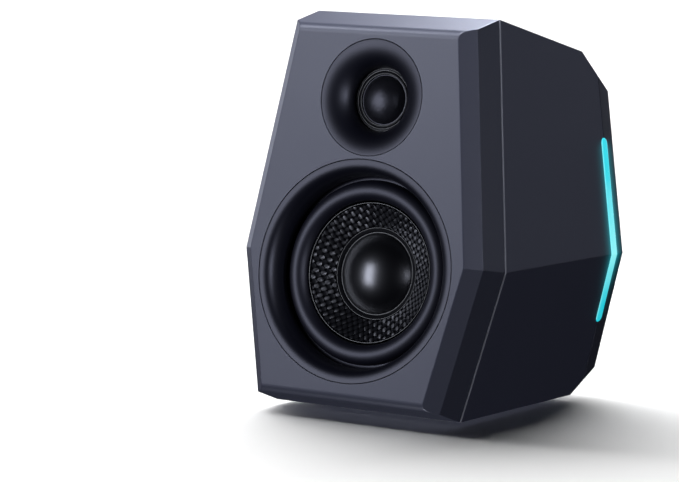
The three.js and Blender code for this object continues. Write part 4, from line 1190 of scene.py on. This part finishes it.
def make_dust_cap():
    cap = lathe("dust_cap", dome_outline(CAP["radius"], CAP["base"], CAP["height"], 0.8, 36), 160)
    piece(cap, WOOFER, "gloss_black", replaces=["woofer_dust_cap"], body="woofer_diaphragm")
    seat = [
        (20.95, 23.5), (21.1, 23.2), (21.7, 22.85), (22.6, 22.5),
        (23.1, 22.3), (23.25, 22.45), (23.1, 23.0),
    ]
    collar = lathe("cap_collar", eased(seat, 0.3, 4, 8), 160)
    piece(collar, WOOFER, "collar_black", body="woofer_diaphragm")
    rims = [bead(20.85, 23.3, 0.2, 160), bead(23.2, 22.35, 0.1, 160), bead(35.35, 15.0, 0.14, 192)]
    beads = merged("cone_beads", *rims)
    piece(beads, WOOFER, "ring_line", crease=60, body="woofer_diaphragm")


def make_spider():
    inner, outer, depth, waves, lift, thick = 14.3, 25.4, 34, 3, 0.8, 0.6
    steps = 48
    front = []
    for i in range(steps + 1):
        share = i / steps
        front.append((inner + (outer - inner) * share, depth - lift * math.sin(2 * math.pi * waves * share)))
    front.append((28, depth))
    back = [(r, y + thick) for r, y in reversed(front)]
    spider = lathe("spider", front + back, 128)
    moving_ring(spider, WOOFER, "spider_cloth", "woofer_spider")


# ---- Tweeter ----

HORN = {"throat_r": 16.4, "throat": 11}


def make_tweeter():
    throat_r, throat = HORN["throat_r"], HORN["throat"]
    back = throat + 1.1
    seat = RING_SEAT - GAP
    bell = quarter(TWEETER_RING_R, 0, throat_r, throat, 40)
    outline = [*bell, (throat_r, back), (22.8, back), (22.8, seat), (TWEETER_RING_R, seat)]
    horn = lathe("waveguide", eased(outline, 0.4), 192)
    piece(horn, TWEETER, "trim_plastic", ["tweeter_waveguide"])

    outline = [(14.9, 12.4), (19, 12.4), (19, 14.6), (14.7, 14.6), (14.7, 12.7)]
    clamp = lathe("clamp_ring", eased(outline, 0.3), 128)
    piece(clamp, TWEETER, "collar_black", ["tweeter_clamp_ring"])
    beads = merged("clamp_bead", bead(14.75, 12.2, 0.15, 128), bead(15.75, 12.35, 0.07, 128))
    piece(beads, TWEETER, "ring_line", crease=60)

    lip = lathe("lip", [(12.3, 13.0), (12.62, 13.0), (12.62, 13.35), (12.3, 13.35)], 128)
    dome = merged("dome", lathe("dome", dome_outline(12.5, 13.2, 6.6, 0.6, 32), 128), lip)
    piece(dome, TWEETER, "silk_dome", replaces=["tweeter_dome"], body="tweeter_diaphragm")
    rim = bead(13.15, 12.3, 0.12, 128, "dome_bead")
    piece(rim, TWEETER, "ring_line", body="tweeter_diaphragm")

    inner, outer = 12.65, 14.55
    outline = [*roll(inner, outer, 13.2, 16), (outer, 13.7), (inner, 13.7)]
    moving_ring(
        lathe("dome_roll", outline, 128), TWEETER,
        "collar_black", "tweeter_surround",
    )


# ---- Rear panel ----

SPOTS = {
    "volume": (29, 82),
    "bass": (0, 82),
    "treble": (-26, 82),
    "phono": (29, 56),
    "line_in": (4, 57),
    "usb": (-14, 57),
    "button": (-33, 57),
    "rocker": (28, 35.5),
    "inlet": (0, 35.5),
    "link": (-26, 35.5),
}
KNOBS = {"volume": (8.5, 11), "bass": (6, 9.5), "treble": (6, 9.5)}
KNOB_Y = PANEL["back_y"] + 1
PHONO_X = {"red": 21.5, "white": 36.5}
ROCKER = {"width": 13, "height": 19.5}
USB = {"width": 9.4, "height": 3.8}


def make_control_panel():
    plate = panel_plate("panel", 0, PANEL["corner"], PANEL["front_y"], PANEL["back_y"])
    panel = soften(plate, 0.35, 30)
    through = (PANEL["front_y"] - 1, PANEL["back_y"] + 1)
    holes = [rod("hole", 4.0, *through, *SPOTS[name]) for name in KNOBS]
    holes += [rod("hole", 4.6, *through, x, SPOTS["phono"][1]) for x in PHONO_X.values()]
    for name, radius in (("line_in", 3.5), ("button", 2.9), ("inlet", 5.3), ("link", 7.3)):
        holes.append(rod("hole", radius, *through, *SPOTS[name]))
    for name, size in (("usb", USB), ("rocker", ROCKER)):
        x, z = SPOTS[name]
        middle = (x, PANEL["back_y"] - 1, z)
        holes.append(block("hole", (size["width"] + 2 * GAP, 4, size["height"] + 2 * GAP), middle))
    cut(panel, *holes)
    piece(panel, CABINET, "panel_metal", replaces=["control_panel"])


def make_dial_marks():
    """Plain ticks round the three knobs, printed proud by a hair."""
    ticks = []
    for name, (radius, _) in KNOBS.items():
        x, z = SPOTS[name]
        for step in range(11):
            turn = math.radians(-140 + 28 * step)
            long = 1.6 if step % 5 == 0 else 1.0
            tick = block("tick", (0.4, 0.08, long), (0, PANEL["back_y"] + 0.04, radius + 2.6))
            tick.data.transform(Matrix.Rotation(turn, 4, "Y"))
            tick.data.transform(Matrix.Translation((x, 0, z)))
            ticks.append(tick)
    marks = merged("dial_marks", *ticks)
    piece(marks, CABINET, "marking")


def flute(obj, radius, start, end, count, depth):
    """Presses rounded grooves into the wall of a turned piece."""
    for vertex in obj.data.vertices:
        wall = math.hypot(vertex.co.x, vertex.co.z)
        if wall < 0.9 * radius or not start < vertex.co.y < end:
            continue
        turn = math.atan2(vertex.co.z, vertex.co.x)
        scale = 1 - depth * (0.5 - 0.5 * math.cos(count * turn)) / radius
        vertex.co.x *= scale
        vertex.co.z *= scale


def make_knobs():
    for name, (radius, length) in KNOBS.items():
        top = length - 0.12
        outline = [
            (0, length - 3), (0, top), (radius - 1.1, top), (radius - 0.1, length - 1.1),
            (radius, length - 3), (radius, length / 2), (radius, 1.2), (radius - 0.3, 0),
            (3.3, 0), (3.3, length - 3),
        ]
        knob = lathe(f"{name}_grip", eased(outline, 0.4, 4), 360)
        flute(knob, radius, start=1.0, end=length - 0.9, count=30, depth=0.45)
        place = rear_spot(*SPOTS[name]) @ Matrix.Translation((0, KNOB_Y, 0))
        body = f"{name}_control"
        piece(knob, place, "knob_plastic", replaces=[f"{name}_knob"], crease=50, body=body)
        middle = (0, length - 0.15, radius / 2 + 0.4)
        pointer = block(f"{name}_pointer", (0.7, 0.3, radius - 2.6), middle, 0.1)
        piece(pointer, place, "marking", body=body)
        shaft = sleeve(f"{name}_spindle", 0, 3, 146, KNOB_Y + length - 3.3, 0.4, 64)
        piece(shaft, rear_spot(*SPOTS[name]), "zinc_steel", replaces=[f"{name}_shaft"], body=body)


def socket_block(width, height):
    start, end = BOARD_Y, PANEL["front_y"] - GAP
    return block("body", (width, end - start, height), (0, (start + end) / 2, 0), 0.4)


def make_phono_sockets():
    x, z = SPOTS["phono"]
    body = socket_block(26, 12)
    centres = [spot - x for spot in PHONO_X.values()]
    cut(body, *[rod("bore", 3.4, 158, 161, centre) for centre in centres])
    body.name = "phono_block"
    piece(body, rear_spot(x, z), "socket_plastic", replaces=["phono_sockets"])
    barrel = [(3.5, 158.6), (4.2, 158.6), (4.2, 164.2), (4.05, 164.6), (4.05, 169.6), (3.5, 169.6)]
    collar = [(4.35, 162.65), (6.0, 162.65), (6.0, 163.3), (4.35, 163.7)]
    for color, at in PHONO_X.items():
        place = rear_spot(at, z)
        metal = [lathe("barrel", eased(barrel, 0.2), 96), sleeve("contact", 1.25, 1.7, 159, 168.6, 0.1)]
        piece(merged(f"phono_barrel_{color}", *metal), place, "nickel")
        insert = sleeve("insert", 1.75, 3.4, 158.6, 168.9, 0.3, 96)
        plastic = merged(f"phono_insert_{color}", insert, lathe("collar", eased(collar, 0.2), 96))
        piece(plastic, place, f"phono_{color}")


def make_round_socket(name, spot, node, width, radius, bore, depth, proud, extras=()):
    """A round socket: a block on the board, a rounded collar through the panel, and what is in its bore."""
    end = PANEL["back_y"] + proud
    floor = end - depth
    back = floor - 1
    collar = [(bore, floor), (bore, end), (radius, end), (radius, back), (0, back), (0, floor)]
    shell = lathe("collar", eased(collar, 0.35), 96)
    body = socket_block(width, width)
    cut(body, rod("room", radius + 0.05, back - 0.05, 161))
    whole = merged(name, body, shell, *extras)
    piece(whole, rear_spot(*SPOTS[spot]), "socket_plastic", replaces=[node])


def make_sockets():
    back = PANEL["back_y"]
    make_round_socket("line_jack", "line_in", "line_in_socket", 10, 3.2, 1.8, 14, 1)
    key = block("key", (2.4, 7, 1.4), (0, back - 4, -4), 0.2)
    make_round_socket("link_jack", "link", "speaker_link_socket", 15, 7, 4.8, 8, 0.6, [key])
    make_round_socket("inlet_jack", "inlet", "power_inlet", 12, 5, 3.2, 10, 0.6)
    pin = sleeve("inlet_pin", 0, 1, back - 11, back - 1, 0.5)
    piece(pin, rear_spot(*SPOTS["inlet"]), "nickel")
    liner = sleeve("line_jack_liner", 1.4, 1.75, 156, 163.3, 0.1)
    piece(liner, rear_spot(*SPOTS["line_in"]), "nickel")
    pins = []
    for turn in (math.radians(30 + 60 * i) for i in range(6) if i != 4):
        x, z = 2.6 * math.cos(turn), 2.6 * math.sin(turn)
        pins.append(rod("pin", 0.45, back - 7.3, back - 2, x, z, 20))
    piece(merged("link_pins", *pins), rear_spot(*SPOTS["link"]), "nickel")


def make_usb_socket():
    back = PANEL["back_y"]
    width, height = USB["width"], USB["height"]
    place = rear_spot(*SPOTS["usb"])
    shell = block("usb_shell", (width, back - BOARD_Y, height), (0, (back + BOARD_Y) / 2, 0), 0.6)
    cut(shell, block("mouth", (width - 1, 7, height - 1), (0, back - 3, 0), 0.45))
    piece(shell, place, "zinc_steel", replaces=["usb_socket"])
    tongue = block("usb_tongue", (width - 3.5, 6, 0.8), (0, back - 4.5, 0), 0.15)
    piece(tongue, place, "socket_plastic")


def cross_rod(name, radius, length, y):
    obj = rod(name, radius, -length / 2, length / 2, sides=40)
    obj.data.transform(Matrix.Translation((0, y, 0)) @ Matrix.Rotation(math.radians(90), 4, "Z"))
    return obj


def make_power_switch():
    back = PANEL["back_y"]
    width, height = ROCKER["width"], ROCKER["height"]
    pivot = back - 3
    housing = block("switch_body", (width, 15.2, height), (0, back - 6.4, 0), 0.3)
    combine(housing, "UNION", block("rim", (width + 3, 1.2, height + 3), (0, back + 0.9, 0), 0.45))
    cut(housing, block("pocket", (width - 3, 13, height - 2.4), (0, back - 3, 0)))
    cut(housing, cross_rod("pivots", 1.5, width + 1, pivot))
    piece(housing, rear_spot(*SPOTS["rocker"]), "socket_plastic", replaces=["power_switch_housing"])

    half = height / 2 - 2.3
    hollow_face = parabola((4.6, -half), (3.2, 0), (4.6, half), 24)
    outline = [(-2.6, -half), *hollow_face, (-2.6, half)]
    paddle = soften(sweep("paddle", outline, -(width - 4) / 2, (width - 4) / 2, "X"), 0.4, 30, 3)
    combine(paddle, "UNION", cross_rod("trunnion", 1.2, width - 2, 0))
    tilt = Matrix.Rotation(math.radians(9), 4, "X")
    place = rear_spot(*SPOTS["rocker"]) @ Matrix.Translation((0, pivot, 0)) @ tilt
    piece(paddle, place, "knob_plastic", replaces=["power_rocker"], body="power_rocker")


def make_light_button():
    back = PANEL["back_y"]
    front = PANEL["front_y"] - GAP
    outline = [
        (0, 149), (3.6, 149), (3.6, front), (2.6, front),
        (2.6, back + 2), (2.1, back + 2.5), (1.2, back + 2.45), (0, back + 2.3),
    ]
    button = lathe("button", eased(outline, 0.25), 64)
    place = rear_spot(*SPOTS["button"])
    piece(button, place, "knob_plastic", replaces=["light_button"], body="light_button")


# ---- Inner parts that keep their CAD shape ----

INNER_FINISHES = {
    "bare_aluminium": ["heat_sink"],
    "circuit_board": ["amplifier_board", "light_board_left", "light_board_right"],
    "coil_wire": ["tweeter_voice_coil", "woofer_voice_coil"],
    "ferrite": ["tweeter_magnet", "woofer_magnet"],
    "foot_rubber": ["baffle_gasket"],
    "lead_sheath": ["tweeter_lead", "woofer_lead"],
    "painted_steel": ["woofer_frame"],
    "socket_plastic": ["light_button_switch"],
    "zinc_steel": [
        "bass_potentiometer", "treble_potentiometer", "volume_potentiometer",
        "tweeter_top_plate", "tweeter_yoke", "woofer_top_plate", "woofer_yoke",
    ],
}


def finish_inner_parts():
    for material, nodes in INNER_FINISHES.items():
        for node in nodes:
            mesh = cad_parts[node].data
            mesh.materials.clear()
            mesh.materials.append(MATERIALS[material])


def main():
    stage = make_stage()
    make_bezel()
    make_shell()
    make_painted_seam_highlight()
    make_rear_cover()
    make_light_strips()
    make_screws()
    make_feet()
    make_port()
    make_wadding()
    make_trim_ring()
    make_woofer_surround()
    make_cone()
    make_dust_cap()
    make_spider()
    make_tweeter()
    make_control_panel()
    make_dial_marks()
    make_knobs()
    make_phono_sockets()
    make_sockets()
    make_usb_socket()
    make_power_switch()
    make_light_button()
    finish_inner_parts()
    make_lights(stage)


main()
